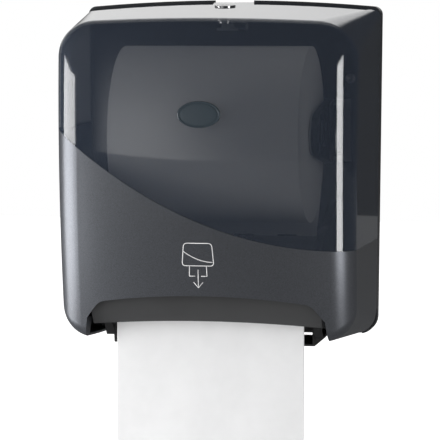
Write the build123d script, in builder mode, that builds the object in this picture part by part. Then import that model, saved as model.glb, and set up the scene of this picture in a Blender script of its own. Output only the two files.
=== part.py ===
from build123d import *
from math import acos, asin, atan2, cos, degrees, hypot, pi, radians, sin, sqrt, tan
import os

os.makedirs("parts", exist_ok=True)

# Frame: X to the right, -Y towards the user, Z up.
# The origin is the middle of the back plate's rear face, which lies on the wall.

# Overall sizes of the casing, in millimetres
half_width = 165.0
depth = 221.0
seam_depth = 21.0
side_draft = 3.4
front_draw_in = 3.5
cover_wall = 2.6
seam_gap = 1.0

# Cover: height of its top and bottom lines at the seam and at the front
top_at_seam = 184.0
top_fall = 18.0
bottom_at_seam = -181.5
bottom_rise = 9.0
top_arch = 7.5
top_corner_at_seam = 9.0
top_corner_growth = 43.0
bottom_corner_at_seam = 20.0
bottom_corner_growth = 22.0

# Cover: the front face, curved both ways
bulge_radius = 480.0
side_view_radius = 1150.0
crest_height = 40.0
front_corner_radius = 40.0
front_corner_inset = 40.6
front_corner_place = half_width - front_corner_inset
front_corner_turn = 60.0
round_over = 14.0

# Cover: the hand notch above the paper and its turned-in edge
notch_crown = -124.5
notch_shoulder = -134.0
notch_shoulder_inset = 51.0
notch_shoulder_half = half_width - notch_shoulder_inset
notch_waist_inset = 36.5
notch_waist_half = half_width - notch_waist_inset
notch_waist = -152.0
notch_foot_inset = 31.0
notch_foot_half = half_width - notch_foot_inset
notch_foot_drop = 10.0
notch_corner = 16.0
notch_edge_set_back = 21.5
lobe_edge_set_back = 31.0
lobe_edge_reach = 59.0
lobe_side_gap = 6.0
edge_overlap = 0.5

# Back plate
plate_wall = 2.5
rim_stand = 2.5
rim_notch_width = 47.0
screw_inset = 35.0
screw_spacing_x = 2 * (half_width - screw_inset)
screw_spacing_z = 200.0
screw_hole_radius = 3.0
screw_boss_radius = 8.0
screw_boss_height = 4.0
spigot_reach = 4.0
spigot_wall = 1.8
spigot_gap = 0.6
spigot_overlap = 0.1
spigot_end_gap = 2.0
rib_wall = 2.0
rib_height = 8.0
rib_low = -30.0
rib_high = 130.0
rib_spacing = 75.0

# Cover hinge
hinge_y = -13.0
hinge_z = -174.0
hinge_pin_radius = 2.5
hinge_eye_radius = 5.2
hinge_sweep = 18.0
lug_inset = 25.5
lug_inner = half_width - lug_inset
lug_wall = 5.0
lug_side_gap = 0.7
lug_root_front = -70.0
lug_root_back = -52.0
lug_root_top = -150.0
lug_slot_start = 6.0
lug_slot_height = 14.0
ear_wall = 4.0
ear_radius = 5.0
ear_root_rise = 14.0
running_gap = 0.08

# Paper
towel_side_room = 63.0
towel_width = 2 * (half_width - towel_side_room)
roll_rear_room = 14.0
roll_front_room = 17.0
roll_radius = (depth - roll_rear_room - roll_front_room) / 2
core_radius = 22.0
core_wall = 1.5
roll_y = -roll_rear_room - roll_radius
roll_z = 42.0
paper_thickness = 0.5
paper_gap = 0.3
tail_end = -291.5
tail_bow = 3.0
tail_lean = 2.0

# Feed drum and its knife
drum_set_back = 104.0
drum_y = drum_set_back - depth
drum_z = -118.0
drum_radius = 40.0
drum_skin = 39.2
drum_wall = 2.7
drum_end_gap = 1.5
drum_half_length = towel_width / 2 - drum_end_gap
disc_wall = 3.0
band_seat = 38.2
band_width = 16.0
band_count = 4
band_margin = 4.5
band_pitch = 2 * (drum_half_length - band_margin) / band_count
shaft_radius = 5.0
shaft_overhang = 1.0
slot_direction = -55.0
slot_before = 8.0
slot_after = 40.0
cap_turn = 109.4
cap_seam_turn = 0.6
cap_rib_start_turn = 5.4
cap_rib_end_turn = 6.6
cap_rib_depth = 9.0
cap_side_gap = 0.2
cap_rib_inset = 31.5
knife_rod_radius = 2.0
knife_rod_end = 1.5
knife_pivot_out = 20.0
knife_pivot_side = 25.0
knife_tip_out = 35.5
knife_tip_side = -3.0
knife_end_gap = 7.0
knife_half_length = towel_width / 2 - knife_end_gap
knife_bar_radius = 3.6
knife_holder_radius = 1.8
holder_reach = 20.0
tooth_pitch = 4.0
tooth_height = 3.5
blade_wall = 1.2
blade_root = 8.0
lever_gap = 0.2
lever_place = towel_width / 2 + lever_gap
lever_wall = 2.1
lever_pivot_radius = 4.0
lever_end_radius = 2.6
follower_orbit = 28.0
follower_turn = 4.0
follower_radius = 3.5
follower_end_gap = 2.0

# Frames beside the drum
frame_side_gap = 8.0
frame_inner = towel_width / 2 + frame_side_gap
frame_wall = 3.0
frame_rim_height = 6.0
frame_rim_width = 3.0
frame_corner = 12.0
frame_foot_width = 24.0
frame_foot_wall = 3.0
frame_foot_height = 40.0
frame_foot_rise = 48.0
frame_foot_drop = 32.0
bush_radius = 8.0
bush_stand = 3.0
bush_flange_wall = 2.0
bush_flange_width = 3.0

# Pressure roller
press_radius = 9.0
press_core_depth = 2.5
press_direction = 125.0
press_end_gap = 4.0
press_half_length = towel_width / 2 - press_end_gap
press_band_margin = 2.0
press_shaft_radius = 2.5
press_pivot_behind = 65.0
press_pivot_y = drum_y + press_pivot_behind
press_pivot_rise = 22.0
press_pivot_z = drum_z + press_pivot_rise
press_pivot_radius = 3.0
press_arm_wall = 3.5
press_arm_gap = 2.2
press_arm_inner = towel_width / 2 + press_arm_gap
press_arm_pivot_end = 6.0
press_arm_roller_end = 4.0

# Roll holders
arm_side_gap = 2.5
arm_inner = towel_width / 2 + arm_side_gap
arm_wall = 4.0
arm_rim_height = 5.0
arm_rim_width = 2.5
arm_half_height = 36.0
arm_tip = 24.0
arm_root = 8.0
arm_window_place = 42.0
arm_window_length = 44.0
arm_window_height = 30.0
arm_foot_width = 24.0
arm_foot_wall = 3.0
hub_depth = 12.5
hub_gap = 0.4
hub_taper = 2.0
hub_wall = 2.0
hub_flange_wall = 1.5
hub_flange_width = 3.0
hub_face_wall = 1.0
hinge_set_back = 20.0
arm_pin_out = 12.5
arm_pin_x = arm_inner + arm_pin_out
arm_pin_y = -11.0
arm_pin_radius = 2.5
knuckle_half = 28.0
knuckle_radius = 5.5
knuckle_plate = 14.0
knuckle_plate_shift = 3.0
knuckle_web = 4.0
bracket_width = 26.0
bracket_wall = 1.8
bracket_ear_height = 6.0
bracket_ear_gap = 0.6

# Crank, spring and hand wheel
crank_side_gap = 10.5
crank_place = frame_inner + crank_side_gap
crank_wall = 4.0
crank_radius = 26.0
crank_throw = 19.0
crank_window_orbit = 15.0
crank_window_radius = 5.5
crank_window_turns = (95.0, 265.0)
crank_pin_radius = 3.0
crank_pin_length = 8.0
post_behind = 72.0
post_y = drum_y + post_behind
post_rise = 58.0
post_z = drum_z + post_rise
post_head_wall = 1.5
post_head_width = 1.2
spring_wire = 1.6
spring_radius = 5.2
spring_turns = 20
spring_loop_turn = 290.0
spring_side_gap = 0.7
spring_loop_gap = 0.1
wheel_side_gap = 24.0
wheel_place = frame_inner + wheel_side_gap
wheel_width = 12.0
wheel_radius = 24.0
wheel_lobes = 16
scallop_radius = 3.0
scallop_out = 1.5
wheel_floor = 3.0
wheel_rim = 5.0
wheel_hub = 4.0

# Lock
lock_y = -70.0
lock_radius = 11.5
lock_stand = 1.6
lock_length = 15.0
lock_boss_depth = 9.0
lock_boss_wall = 3.0
lock_edge = 0.5
key_slot_length = 9.0
key_slot_width = 2.0
key_slot_depth = 4.0


def write(part, name):
    part.label = name
    export_step(part, f"parts/{name}.step")


def on_drum(angle, radius):
    """Point (y, z) at a radius from the drum's axis; 0 degrees is the front, 90 the top."""
    return (drum_y - radius * cos(radians(angle)), drum_z + radius * sin(radians(angle)))


def by_drum(back, up):
    """Point (y, z) that far behind and above the drum's axis."""
    return (drum_y + back, drum_z + up)


def in_slot_frame(out, side):
    """Point (y, z) given outwards along the knife slot's direction and sideways from it."""
    along = radians(slot_direction)
    return (
        drum_y - out * cos(along) + side * sin(along),
        drum_z + out * sin(along) + side * cos(along),
    )


def round_bar(start, end, centre, radius, mode=Mode.ADD):
    """Round solid along X from start to end, its centre given as (y, z)."""
    with BuildSketch(Plane.YZ.offset(min(start, end))) as section:
        with Locations(centre):
            Circle(radius)
    extrude(section.sketch, amount=abs(end - start), mode=mode)


def casing_outline(place, half, top, bottom, top_corner, bottom_corner, inset):
    """Front-view outline of the casing at y = place, drawn in by inset."""
    with BuildSketch(Plane(origin=(0, place, 0), x_dir=(1, 0, 0), z_dir=(0, -1, 0))) as outline:
        upper = half - inset
        lower = half - side_draft - inset
        shoulder = top - top_arch - inset
        with BuildLine():
            ThreePointArc((-upper, shoulder), (0, top - inset), (upper, shoulder))
            Polyline(
                (upper, shoulder),
                (lower, bottom + inset),
                (-lower, bottom + inset),
                (-upper, shoulder),
            )
        make_face()
        fillet(outline.vertices().group_by(Axis.Y)[-1], top_corner - inset)
        fillet(outline.vertices().group_by(Axis.Y)[0], bottom_corner - inset)
    return outline.sketch


def seam_outline(place, inset, top_lift=0.0):
    """The outline that the back plate and the cover share at their seam."""
    return casing_outline(
        place,
        half_width,
        top_at_seam + top_lift,
        bottom_at_seam - top_lift,
        top_corner_at_seam,
        bottom_corner_at_seam,
        inset,
    )


def cover_form(inset):
    """Solid form of the cover: a tapering wrap closed by a front face curved both ways."""
    past = 30.0
    reach = (depth - seam_depth + past) / (depth - seam_depth)
    with BuildPart() as form:
        seam = seam_outline(-seam_depth, inset)
        far = casing_outline(
            -depth - past,
            half_width - front_draw_in * reach,
            top_at_seam - top_fall * reach,
            bottom_at_seam + bottom_rise * reach,
            top_corner_at_seam + top_corner_growth * reach,
            bottom_corner_at_seam + bottom_corner_growth * reach,
            inset,
        )
        loft([seam.face(), far.face()], ruled=True)
        # plan view of the front, turned about a far axis along X to give the side-view curve
        half_swing = 13.0
        axis_y = side_view_radius - depth
        spread = bulge_radius - front_corner_radius
        turn = asin(front_corner_place / spread)
        corner_y = bulge_radius - side_view_radius - spread * cos(turn)
        bulge = bulge_radius - inset
        corner = front_corner_radius - inset
        crest = (0, bulge_radius - side_view_radius - bulge)
        meet = (bulge * sin(turn), bulge_radius - side_view_radius - bulge * cos(turn))
        slope = radians(front_corner_turn)
        leave = (front_corner_place + corner * sin(slope), corner_y - corner * cos(slope))
        outer = (leave[0] + past * cos(slope), leave[1] + past * sin(slope))
        behind = depth - side_view_radius + 3 * past
        centre = Plane(origin=(0, axis_y, crest_height), x_dir=(1, 0, 0), z_dir=(0, 0, 1))
        with BuildSketch(centre.rotated((-half_swing, 0, 0))):
            with BuildLine():
                ThreePointArc(crest, (bulge * sin(turn / 2), bulge_radius - side_view_radius
                                      - bulge * cos(turn / 2)), meet)
                RadiusArc(meet, leave, -corner)
                Polyline(leave, outer, (outer[0], behind), (0, behind), crest)
            make_face()
            mirror(about=Plane.YZ)
        revolve(
            axis=Axis((0, axis_y, crest_height), (1, 0, 0)),
            revolution_arc=2 * half_swing,
            mode=Mode.INTERSECT,
        )
        wrap_edges = form.faces().filter_by(GeomType.BSPLINE).edges()
        front = form.faces().filter_by(GeomType.PLANE, reverse=True)
        front = front.filter_by(GeomType.BSPLINE, reverse=True)
        rim = [edge for edge in front.edges() if any(edge.is_same(other) for other in wrap_edges)]
        fillet(rim, round_over - inset)
    return form.part


# Back plate: a moulded tray with a rim all round, screwed flat to the wall
rear_outer = seam_outline(0, 0, rim_stand)
rear_inner = seam_outline(-plate_wall, plate_wall, rim_stand)
spigot_root = seam_outline(-seam_depth + spigot_reach, plate_wall - spigot_overlap, rim_stand)
spigot_outer = seam_outline(-seam_depth + spigot_reach, cover_wall + spigot_gap)
spigot_inner = seam_outline(-seam_depth + spigot_reach, cover_wall + spigot_gap + spigot_wall)
rim_front = seam_depth - seam_gap
with BuildPart() as back_plate:
    extrude(rear_outer, amount=rim_front)
    extrude(rear_inner, amount=rim_front, mode=Mode.SUBTRACT)
    # stepped lip that the cover's rear edge closes over
    extrude(spigot_root, amount=spigot_reach - seam_gap)
    extrude(spigot_outer, amount=2 * spigot_reach)
    extrude(spigot_inner, amount=2 * spigot_reach, mode=Mode.SUBTRACT)
    # open the lip across the bottom, where the paper leaves and the cover turns
    with Locations((0, -seam_depth, hinge_z)):
        Box(2 * half_width, 2 * (spigot_reach + spigot_end_gap), 2 * hinge_sweep,
            mode=Mode.SUBTRACT)
    # notch in the rim above the lock
    with Locations((0, -rim_front / 2, top_at_seam + rim_stand)):
        Box(rim_notch_width, rim_front, 2 * rim_stand, mode=Mode.SUBTRACT)
    # screw bosses
    with BuildSketch(Plane.XZ.offset(plate_wall)):
        with GridLocations(screw_spacing_x, screw_spacing_z, 2, 2):
            Circle(screw_boss_radius)
    extrude(amount=screw_boss_height)
    with BuildSketch(Plane.XZ):
        with GridLocations(screw_spacing_x, screw_spacing_z, 2, 2):
            Circle(screw_hole_radius)
    extrude(amount=plate_wall + screw_boss_height, mode=Mode.SUBTRACT)
    # stiffening ribs
    with BuildSketch(Plane.XZ.offset(plate_wall)):
        with Locations((0, rib_low), (0, rib_high)):
            Rectangle(2 * half_width - 4 * plate_wall, rib_wall)
        with Locations((0, (rib_low + rib_high) / 2)):
            with GridLocations(rib_spacing, 0, 3, 1):
                Rectangle(rib_wall, rib_high - rib_low)
    extrude(amount=rib_height)
    # ears that carry the hinge pins, on both sides of each cover lug
    for side in (-1, 1):
        inner = lug_inner - lug_side_gap - ear_wall
        outer = lug_inner + lug_wall + lug_side_gap
        for start in (inner, outer):
            with BuildSketch(Plane.YZ.offset(side * start)):
                with BuildLine():
                    Polyline(
                        (-plate_wall, hinge_z + ear_root_rise),
                        (-plate_wall, hinge_z - ear_radius),
                        (hinge_y, hinge_z - ear_radius),
                    )
                    ThreePointArc(
                        (hinge_y, hinge_z - ear_radius),
                        (hinge_y - ear_radius, hinge_z),
                        (hinge_y, hinge_z + ear_radius),
                    )
                    Line((hinge_y, hinge_z + ear_radius), (-plate_wall, hinge_z + ear_root_rise))
                make_face()
            extrude(amount=side * ear_wall)
        # slot in the rim's floor that lets the lug swing down
        slot_middle = side * (lug_inner + lug_wall / 2)
        with Locations((slot_middle, -(rim_front + lug_slot_start) / 2, bottom_at_seam)):
            Box(lug_wall + 2 * lug_side_gap, rim_front - lug_slot_start, lug_slot_height,
                mode=Mode.SUBTRACT)
        round_bar(side * inner, side * (outer + ear_wall), (hinge_y, hinge_z), hinge_pin_radius,
                  mode=Mode.SUBTRACT)
write(back_plate.part, "back_plate")

# Hinge pins: two short steel pins pressed into the ears
with BuildPart() as hinge_pins:
    for side in (-1, 1):
        round_bar(
            side * (lug_inner - lug_side_gap - ear_wall),
            side * (lug_inner + lug_wall + lug_side_gap + ear_wall),
            (hinge_y, hinge_z),
            hinge_pin_radius,
        )
write(hinge_pins.part, "hinge_pins")

# Front cover: one moulding, smoked at the top and coated below
outer_form = cover_form(0)
inner_form = cover_form(cover_wall)
edge_form = cover_form(cover_wall - edge_overlap)


def notch_face(grow):
    """Front-view outline of the hand notch and the open bottom, grown outwards by grow."""
    foot = bottom_at_seam - notch_foot_drop
    with BuildSketch(Plane.XZ) as notch:
        with BuildLine():
            ThreePointArc(
                (-notch_shoulder_half - grow, notch_shoulder + grow),
                (0, notch_crown + grow),
                (notch_shoulder_half + grow, notch_shoulder + grow),
            )
            Polyline(
                (notch_shoulder_half + grow, notch_shoulder + grow),
                (notch_waist_half + grow, notch_waist),
                (notch_foot_half + grow, foot),
                (-notch_foot_half - grow, foot),
                (-notch_waist_half - grow, notch_waist),
                (-notch_shoulder_half - grow, notch_shoulder + grow),
            )
        make_face()
        fillet(notch.vertices().group_by(Axis.Y)[-1], notch_corner)
    return notch.sketch


lock_slope = degrees(atan2(top_fall, depth - seam_depth))
lock_z = top_at_seam - (-lock_y - seam_depth) * tan(radians(lock_slope))
lock_plane = Plane(
    origin=(0, lock_y, lock_z),
    x_dir=(1, 0, 0),
    z_dir=(0, -sin(radians(lock_slope)), cos(radians(lock_slope))),
)

# room that the turned-in edge may take: shallow over the paper, deeper in the lobes beside it
with BuildPart() as edge_room:
    with Locations((0, notch_edge_set_back - depth, 0)):
        Box(2 * half_width, 2 * depth, 2 * depth, align=(Align.CENTER, Align.MAX, Align.CENTER))
    for side in (-1, 1):
        outwards = Align.MIN if side > 0 else Align.MAX
        lobe_start = side * (towel_width / 2 + lobe_side_gap)
        with Locations((lobe_start, lobe_edge_set_back - depth, 0)):
            Box(half_width, 2 * depth, 2 * depth, align=(outwards, Align.MAX, Align.CENTER))
        with Locations((side * notch_waist_half, lobe_edge_reach - depth, notch_waist)):
            Box(half_width, 2 * depth, 2 * depth, align=(outwards, Align.MAX, Align.MAX))

# band that follows the notch's edge, cut to its depth behind the face
with BuildPart() as turned_edge:
    extrude(notch_face(cover_wall), amount=depth)
    extrude(notch_face(0), amount=depth, mode=Mode.SUBTRACT)
    add(edge_room.part, mode=Mode.INTERSECT)
    add(edge_form, mode=Mode.INTERSECT)

# hinge lugs: flat arms from the cover's bottom corners back to the pins
with BuildPart() as lugs:
    for side in (-1, 1):
        with BuildSketch(Plane.YZ.offset(side * lug_inner)):
            with BuildLine():
                ThreePointArc(
                    (hinge_y, hinge_z + hinge_eye_radius),
                    (hinge_y + hinge_eye_radius, hinge_z),
                    (hinge_y, hinge_z - hinge_eye_radius),
                )
                Polyline(
                    (hinge_y, hinge_z - hinge_eye_radius),
                    (lug_root_front, hinge_z - hinge_eye_radius),
                    (lug_root_front, lug_root_top),
                    (lug_root_back, lug_root_top),
                    (hinge_y, hinge_z + hinge_eye_radius),
                )
            make_face()
        extrude(amount=side * lug_wall)

# space behind the seam plane joined to the cover's own form, which trims the lugs
with BuildPart() as lug_room:
    add(edge_form)
    with Locations((0, -seam_depth, 0)):
        Box(2 * half_width, seam_depth, 3 * depth, align=(Align.CENTER, Align.MIN, Align.CENTER))

trimmed_lugs = lugs.part & lug_room.part

with BuildPart() as front_cover:
    add(outer_form)
    add(inner_form, mode=Mode.SUBTRACT)
    extrude(notch_face(0), amount=depth, mode=Mode.SUBTRACT)
    add(turned_edge.part)
    # the lower rear corners are rounded about the hinge
    round_bar(-half_width, half_width, (hinge_y, hinge_z), hinge_sweep, mode=Mode.SUBTRACT)
    add(trimmed_lugs)
    round_bar(-half_width, half_width, (hinge_y, hinge_z), hinge_pin_radius + running_gap,
              mode=Mode.SUBTRACT)
    # boss and bore for the lock barrel
    with BuildSketch(lock_plane.offset(-cover_wall - lock_boss_depth)):
        Circle(lock_radius + lock_boss_wall)
    extrude(amount=lock_boss_depth + cover_wall / 2)
    with BuildSketch(lock_plane.offset(-2 * lock_boss_depth)):
        Circle(lock_radius + running_gap)
    extrude(amount=4 * lock_boss_depth, mode=Mode.SUBTRACT)
write(front_cover.part, "front_cover")

# Oval pad: a bare plate seated on the front face
pad_half_width = 23.0
pad_half_height = 14.0
pad_height = 67.0
pad_thickness = 1.2
pad_form = cover_form(-pad_thickness)
with BuildPart() as oval_pad:
    with BuildSketch(Plane.XZ.offset(depth / 2)):
        with Locations((0, pad_height)):
            Ellipse(pad_half_width, pad_half_height)
    extrude(amount=depth)
    add(pad_form, mode=Mode.INTERSECT)
    add(outer_form, mode=Mode.SUBTRACT)
write(oval_pad.part, "oval_pad")

# Lock barrel with its key slot, turning in the cover's boss
with BuildPart() as lock_barrel:
    with BuildSketch(lock_plane.offset(-lock_length)):
        Circle(lock_radius)
    extrude(amount=lock_length + lock_stand)
    fillet(lock_barrel.edges().sort_by(Axis.Z)[-1], lock_edge)
    with BuildSketch(lock_plane.offset(lock_stand)):
        SlotOverall(key_slot_length, key_slot_width)
    extrude(amount=-key_slot_depth, mode=Mode.SUBTRACT)
write(lock_barrel.part, "lock_barrel")

# Lock cam: an arm under the barrel whose downturned end catches the bracket's lip
latch_wall = 3.0
latch_reach = 25.0
latch_drop = 6.0
latch_width = 9.0
latch_hub_radius = 8.0
with BuildPart() as lock_cam:
    with BuildSketch(lock_plane.offset(-lock_length - latch_wall)):
        Circle(latch_hub_radius)
        with Locations((latch_reach / 2, 0)):
            Rectangle(latch_reach, latch_width)
    extrude(amount=latch_wall)
    with BuildSketch(lock_plane.offset(-lock_length - latch_wall - latch_drop)):
        with Locations((latch_reach, 0)):
            Rectangle(latch_wall, latch_width)
    extrude(amount=latch_drop + latch_wall)
write(lock_cam.part, "lock_cam")

# Catch bracket: a tongue from the back plate with the lip that the cam hooks behind
catch_half_width = 12.0
lip_front = -54.0
lip_wall = 3.0
lip_width = 14.0
lip_height = 6.0
tongue_wall = 3.0
tongue_gusset = 12.0
tongue_bite = 0.4
tongue_top = lock_z - lock_length - latch_wall - latch_drop + tongue_bite
with BuildPart() as catch_bracket:
    with BuildSketch(Plane.YZ.offset(-catch_half_width)):
        with BuildLine():
            Polyline(
                (-plate_wall, tongue_top - tongue_wall),
                (lip_front, tongue_top - tongue_wall),
                (lip_front, tongue_top),
                (-plate_wall - tongue_gusset, tongue_top),
                (-plate_wall, tongue_top + tongue_gusset),
                close=True,
            )
        make_face()
    extrude(amount=2 * catch_half_width)
    with Locations((0, lip_front + lip_wall / 2, tongue_top)):
        Box(lip_width, lip_wall, lip_height, align=(Align.CENTER, Align.CENTER, Align.MIN))
write(catch_bracket.part, "catch_bracket")

# Side frames: two moulded plates with a rim round each, standing off the back plate
frame_floor = 58.0
frame_roof = 82.0
frame_outline = [
    (-plate_wall, drum_z - frame_floor),
    (-plate_wall, drum_z + frame_roof),
    by_drum(83.0, frame_roof),
    by_drum(33.0, 60.0),
    by_drum(-7.0, 54.0),
    by_drum(-41.0, 28.0),
    by_drum(-46.0, -2.0),
    by_drum(-40.0, -30.0),
    by_drum(-17.0, -frame_floor),
]
frame_window_place = by_drum(83.0, -2.0)
frame_window_width = 26.0
frame_window_height = 50.0
frame_window_corner = 6.0


def frame_face(place):
    """Outline of a side frame's plate, in a plane across X."""
    with BuildSketch(Plane.YZ.offset(place)) as face:
        with BuildLine():
            Polyline(*frame_outline, close=True)
        make_face()
        upper = drum_z - frame_corner
        ahead = -2 * plate_wall
        fillet(face.vertices().filter_by(lambda v: v.Y > upper and v.X < ahead), frame_corner)
    return face


frame_faces = {side: frame_face(side * frame_inner) for side in (-1, 1)}
for side, name in ((-1, "side_frame_left"), (1, "side_frame_right")):
    face = side * frame_inner
    plate_face = frame_faces[side]
    with BuildPart() as side_frame:
        extrude(plate_face.sketch, amount=side * frame_wall)
        # rim round the plate's edge
        with BuildSketch(Plane.YZ.offset(face + side * frame_wall)):
            add(plate_face.sketch_local)
            offset(plate_face.sketch_local, amount=-frame_rim_width, mode=Mode.SUBTRACT)
        extrude(amount=side * frame_rim_height)
        # feet against the back plate
        for height in (drum_z + frame_foot_rise, drum_z - frame_foot_drop):
            foot_middle = face + side * frame_foot_width / 2
            with Locations((foot_middle, -plate_wall - frame_foot_wall / 2, height)):
                Box(frame_foot_width, frame_foot_wall, frame_foot_height)
        # window behind the drum, bush seat, pivot hole
        with BuildSketch(Plane.YZ.offset(face)):
            with Locations(frame_window_place):
                RectangleRounded(frame_window_width, frame_window_height, frame_window_corner)
        extrude(amount=side * frame_wall, mode=Mode.SUBTRACT)
        round_bar(face, face + side * frame_wall, (drum_y, drum_z), bush_radius,
                  mode=Mode.SUBTRACT)
        round_bar(face, face + side * frame_wall, (press_pivot_y, press_pivot_z),
                  press_pivot_radius, mode=Mode.SUBTRACT)
    write(side_frame.part, name)

# Drum bushes: flanged, pressed into the side frames
drum_centre = (drum_y, drum_z)
with BuildPart() as drum_bushes:
    for side in (-1, 1):
        face = side * frame_inner
        outer = face + side * frame_wall
        round_bar(face, outer + side * bush_stand, drum_centre, bush_radius)
        round_bar(outer, outer + side * bush_flange_wall, drum_centre,
                  bush_radius + bush_flange_width)
        round_bar(face, outer + side * bush_stand, drum_centre, shaft_radius + running_gap,
                  mode=Mode.SUBTRACT)
write(drum_bushes.part, "drum_bushes")

# Pressure roller pivot: a steel rod through both side frames
with BuildPart() as press_pivot:
    reach = frame_inner + frame_wall + bush_stand
    round_bar(-reach, reach, (press_pivot_y, press_pivot_z), press_pivot_radius)
write(press_pivot.part, "press_pivot")

# Rear chute: guides the paper round behind and under the drum and closes the bottom
cam_track_outer = 43.2
cam_rim = 1.8
chute_cam_gap = 4.4
chute_radius = cam_track_outer + cam_rim + chute_cam_gap
chute_wall = 2.2
chute_outer = chute_radius + chute_wall
chute_start = -58.0
chute_end = -188.0
chute_floor_drop = 66.0
chute_floor_ahead = 19.0
chute_floor_behind = 65.0
chute_ribs = 5
with BuildPart() as rear_chute:
    with BuildSketch(Plane.YZ.offset(-frame_inner)):
        with BuildLine():
            ThreePointArc(
                on_drum(chute_start, chute_radius),
                on_drum((chute_start + chute_end) / 2, chute_radius),
                on_drum(chute_end, chute_radius),
            )
            Line(on_drum(chute_end, chute_radius), on_drum(chute_end, chute_outer))
            ThreePointArc(
                on_drum(chute_end, chute_outer),
                on_drum((chute_start + chute_end) / 2, chute_outer),
                on_drum(chute_start, chute_outer),
            )
            Line(on_drum(chute_start, chute_outer), on_drum(chute_start, chute_radius))
        make_face()
    extrude(amount=2 * frame_inner)
    # floor bar and the ribs that carry it
    floor_length = chute_floor_ahead + chute_floor_behind
    with Locations((0, drum_y - chute_floor_ahead, drum_z - chute_floor_drop)):
        Box(2 * frame_inner, floor_length, chute_wall,
            align=(Align.CENTER, Align.MIN, Align.MIN))
    with BuildSketch(Plane.YZ.offset(-frame_inner)) as rib_face:
        with BuildLine():
            Polyline(
                by_drum(-chute_floor_ahead, -chute_floor_drop),
                by_drum(chute_floor_behind, -chute_floor_drop),
                by_drum(57.0, -17.0),
                by_drum(-23.0, -42.0),
                close=True,
            )
        make_face()
        with Locations(drum_centre):
            Circle(chute_radius + chute_wall / 2, mode=Mode.SUBTRACT)
    for step in range(chute_ribs):
        place = step * (2 * frame_inner - rib_wall) / (chute_ribs - 1)
        extrude(rib_face.sketch.moved(Location((place, 0, 0))), amount=rib_wall)
write(rear_chute.part, "rear_chute")

# Drum guard: the dark lip in front of the drum, seen through the hand notch
guard_side_reach = 14.0
guard_half_width = frame_inner + guard_side_reach
guard_wall = 2.4
guard_top = by_drum(-14.0, 51.0)
guard_brow = by_drum(-51.0, 34.0)
guard_front = by_drum(-69.4, -3.0)
guard_lip = by_drum(-51.0, -44.0)
lip_crown = drum_z - 36.5
lip_side = drum_z - 42.0
lip_cut_depth = 20.0
lip_cut_half = guard_half_width + 1.0
guard_corner_width = 12.0
guard_corner_height = 90.0
guard_corner_foot = drum_z - 2.0
with BuildPart() as drum_guard:
    with BuildSketch(Plane.YZ.offset(-guard_half_width)):
        with BuildLine():
            upper = ThreePointArc(guard_top, guard_brow, guard_front)
            TangentArc(guard_front, guard_lip, tangent=upper % 1)
        trace(line_width=guard_wall)
    extrude(amount=2 * guard_half_width)
    # arched lower edge
    with BuildSketch(Plane.XZ):
        with BuildLine():
            ThreePointArc((-lip_cut_half, lip_side), (0, lip_crown), (lip_cut_half, lip_side))
            Polyline(
                (lip_cut_half, lip_side),
                (lip_cut_half, lip_side - lip_cut_depth),
                (-lip_cut_half, lip_side - lip_cut_depth),
                (-lip_cut_half, lip_side),
            )
        make_face()
    extrude(amount=depth, mode=Mode.SUBTRACT)
    # upper corners cut back behind the cover's lobes
    corner_height = guard_corner_foot + guard_corner_height / 2
    with BuildSketch(Plane.XZ):
        with Locations((guard_half_width, corner_height), (-guard_half_width, corner_height)):
            Rectangle(2 * guard_corner_width, guard_corner_height)
    extrude(amount=depth, mode=Mode.SUBTRACT)
write(drum_guard.part, "drum_guard")


def drum_sector(start, end, inner, outer):
    """Section of a curved drum wall between two angles and two radii."""
    middle = (start + end) / 2
    with BuildSketch(Plane.YZ) as sector:
        with BuildLine():
            ThreePointArc(on_drum(start, inner), on_drum(middle, inner), on_drum(end, inner))
            Line(on_drum(end, inner), on_drum(end, outer))
            ThreePointArc(on_drum(end, outer), on_drum(middle, outer), on_drum(start, outer))
            Line(on_drum(start, outer), on_drum(start, inner))
        make_face()
    return sector.sketch


def shifted(sketch, place):
    return sketch.moved(Location((place, 0, 0)))


def pivot_hull(ends, start, width):
    """Flat link along X over the hull of round ends, each given as (centre, radius)."""
    with BuildSketch(Plane.YZ.offset(start)) as link:
        for centre, radius in ends:
            with Locations(centre):
                Circle(radius)
        make_hull()
    extrude(link.sketch, amount=width)


knife_pivot = in_slot_frame(knife_pivot_out, knife_pivot_side)
knife_tip = in_slot_frame(knife_tip_out, knife_tip_side)
disc_inner = drum_half_length - disc_wall
body_start = slot_direction + slot_after
body_end = slot_direction + 360 - slot_before - cap_turn - cap_seam_turn
seat_overrun_turn = 1.0
band_places = [(step - (band_count - 1) / 2) * band_pitch for step in range(band_count)]

# Drum body: the larger shell, both end discs and the hub tube, moulded as one
with BuildPart() as drum_body:
    shell = drum_sector(body_start, body_end, drum_skin - drum_wall, drum_skin)
    extrude(shifted(shell, -drum_half_length), amount=2 * drum_half_length)
    for start in (-drum_half_length, disc_inner):
        round_bar(start, start + disc_wall, drum_centre, drum_skin)
    round_bar(-drum_half_length, drum_half_length, drum_centre, shaft_radius + drum_wall)
    round_bar(-drum_half_length, drum_half_length, drum_centre, shaft_radius, mode=Mode.SUBTRACT)
    round_bar(-drum_half_length, drum_half_length, knife_pivot, knife_rod_radius + running_gap,
              mode=Mode.SUBTRACT)
    # seats for the rubber bands
    seat = drum_sector(body_start - seat_overrun_turn, body_end + seat_overrun_turn, band_seat,
                       drum_radius)
    for place in band_places:
        extrude(shifted(seat, place - band_width / 2), amount=band_width, mode=Mode.SUBTRACT)
write(drum_body.part, "drum_body")

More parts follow.
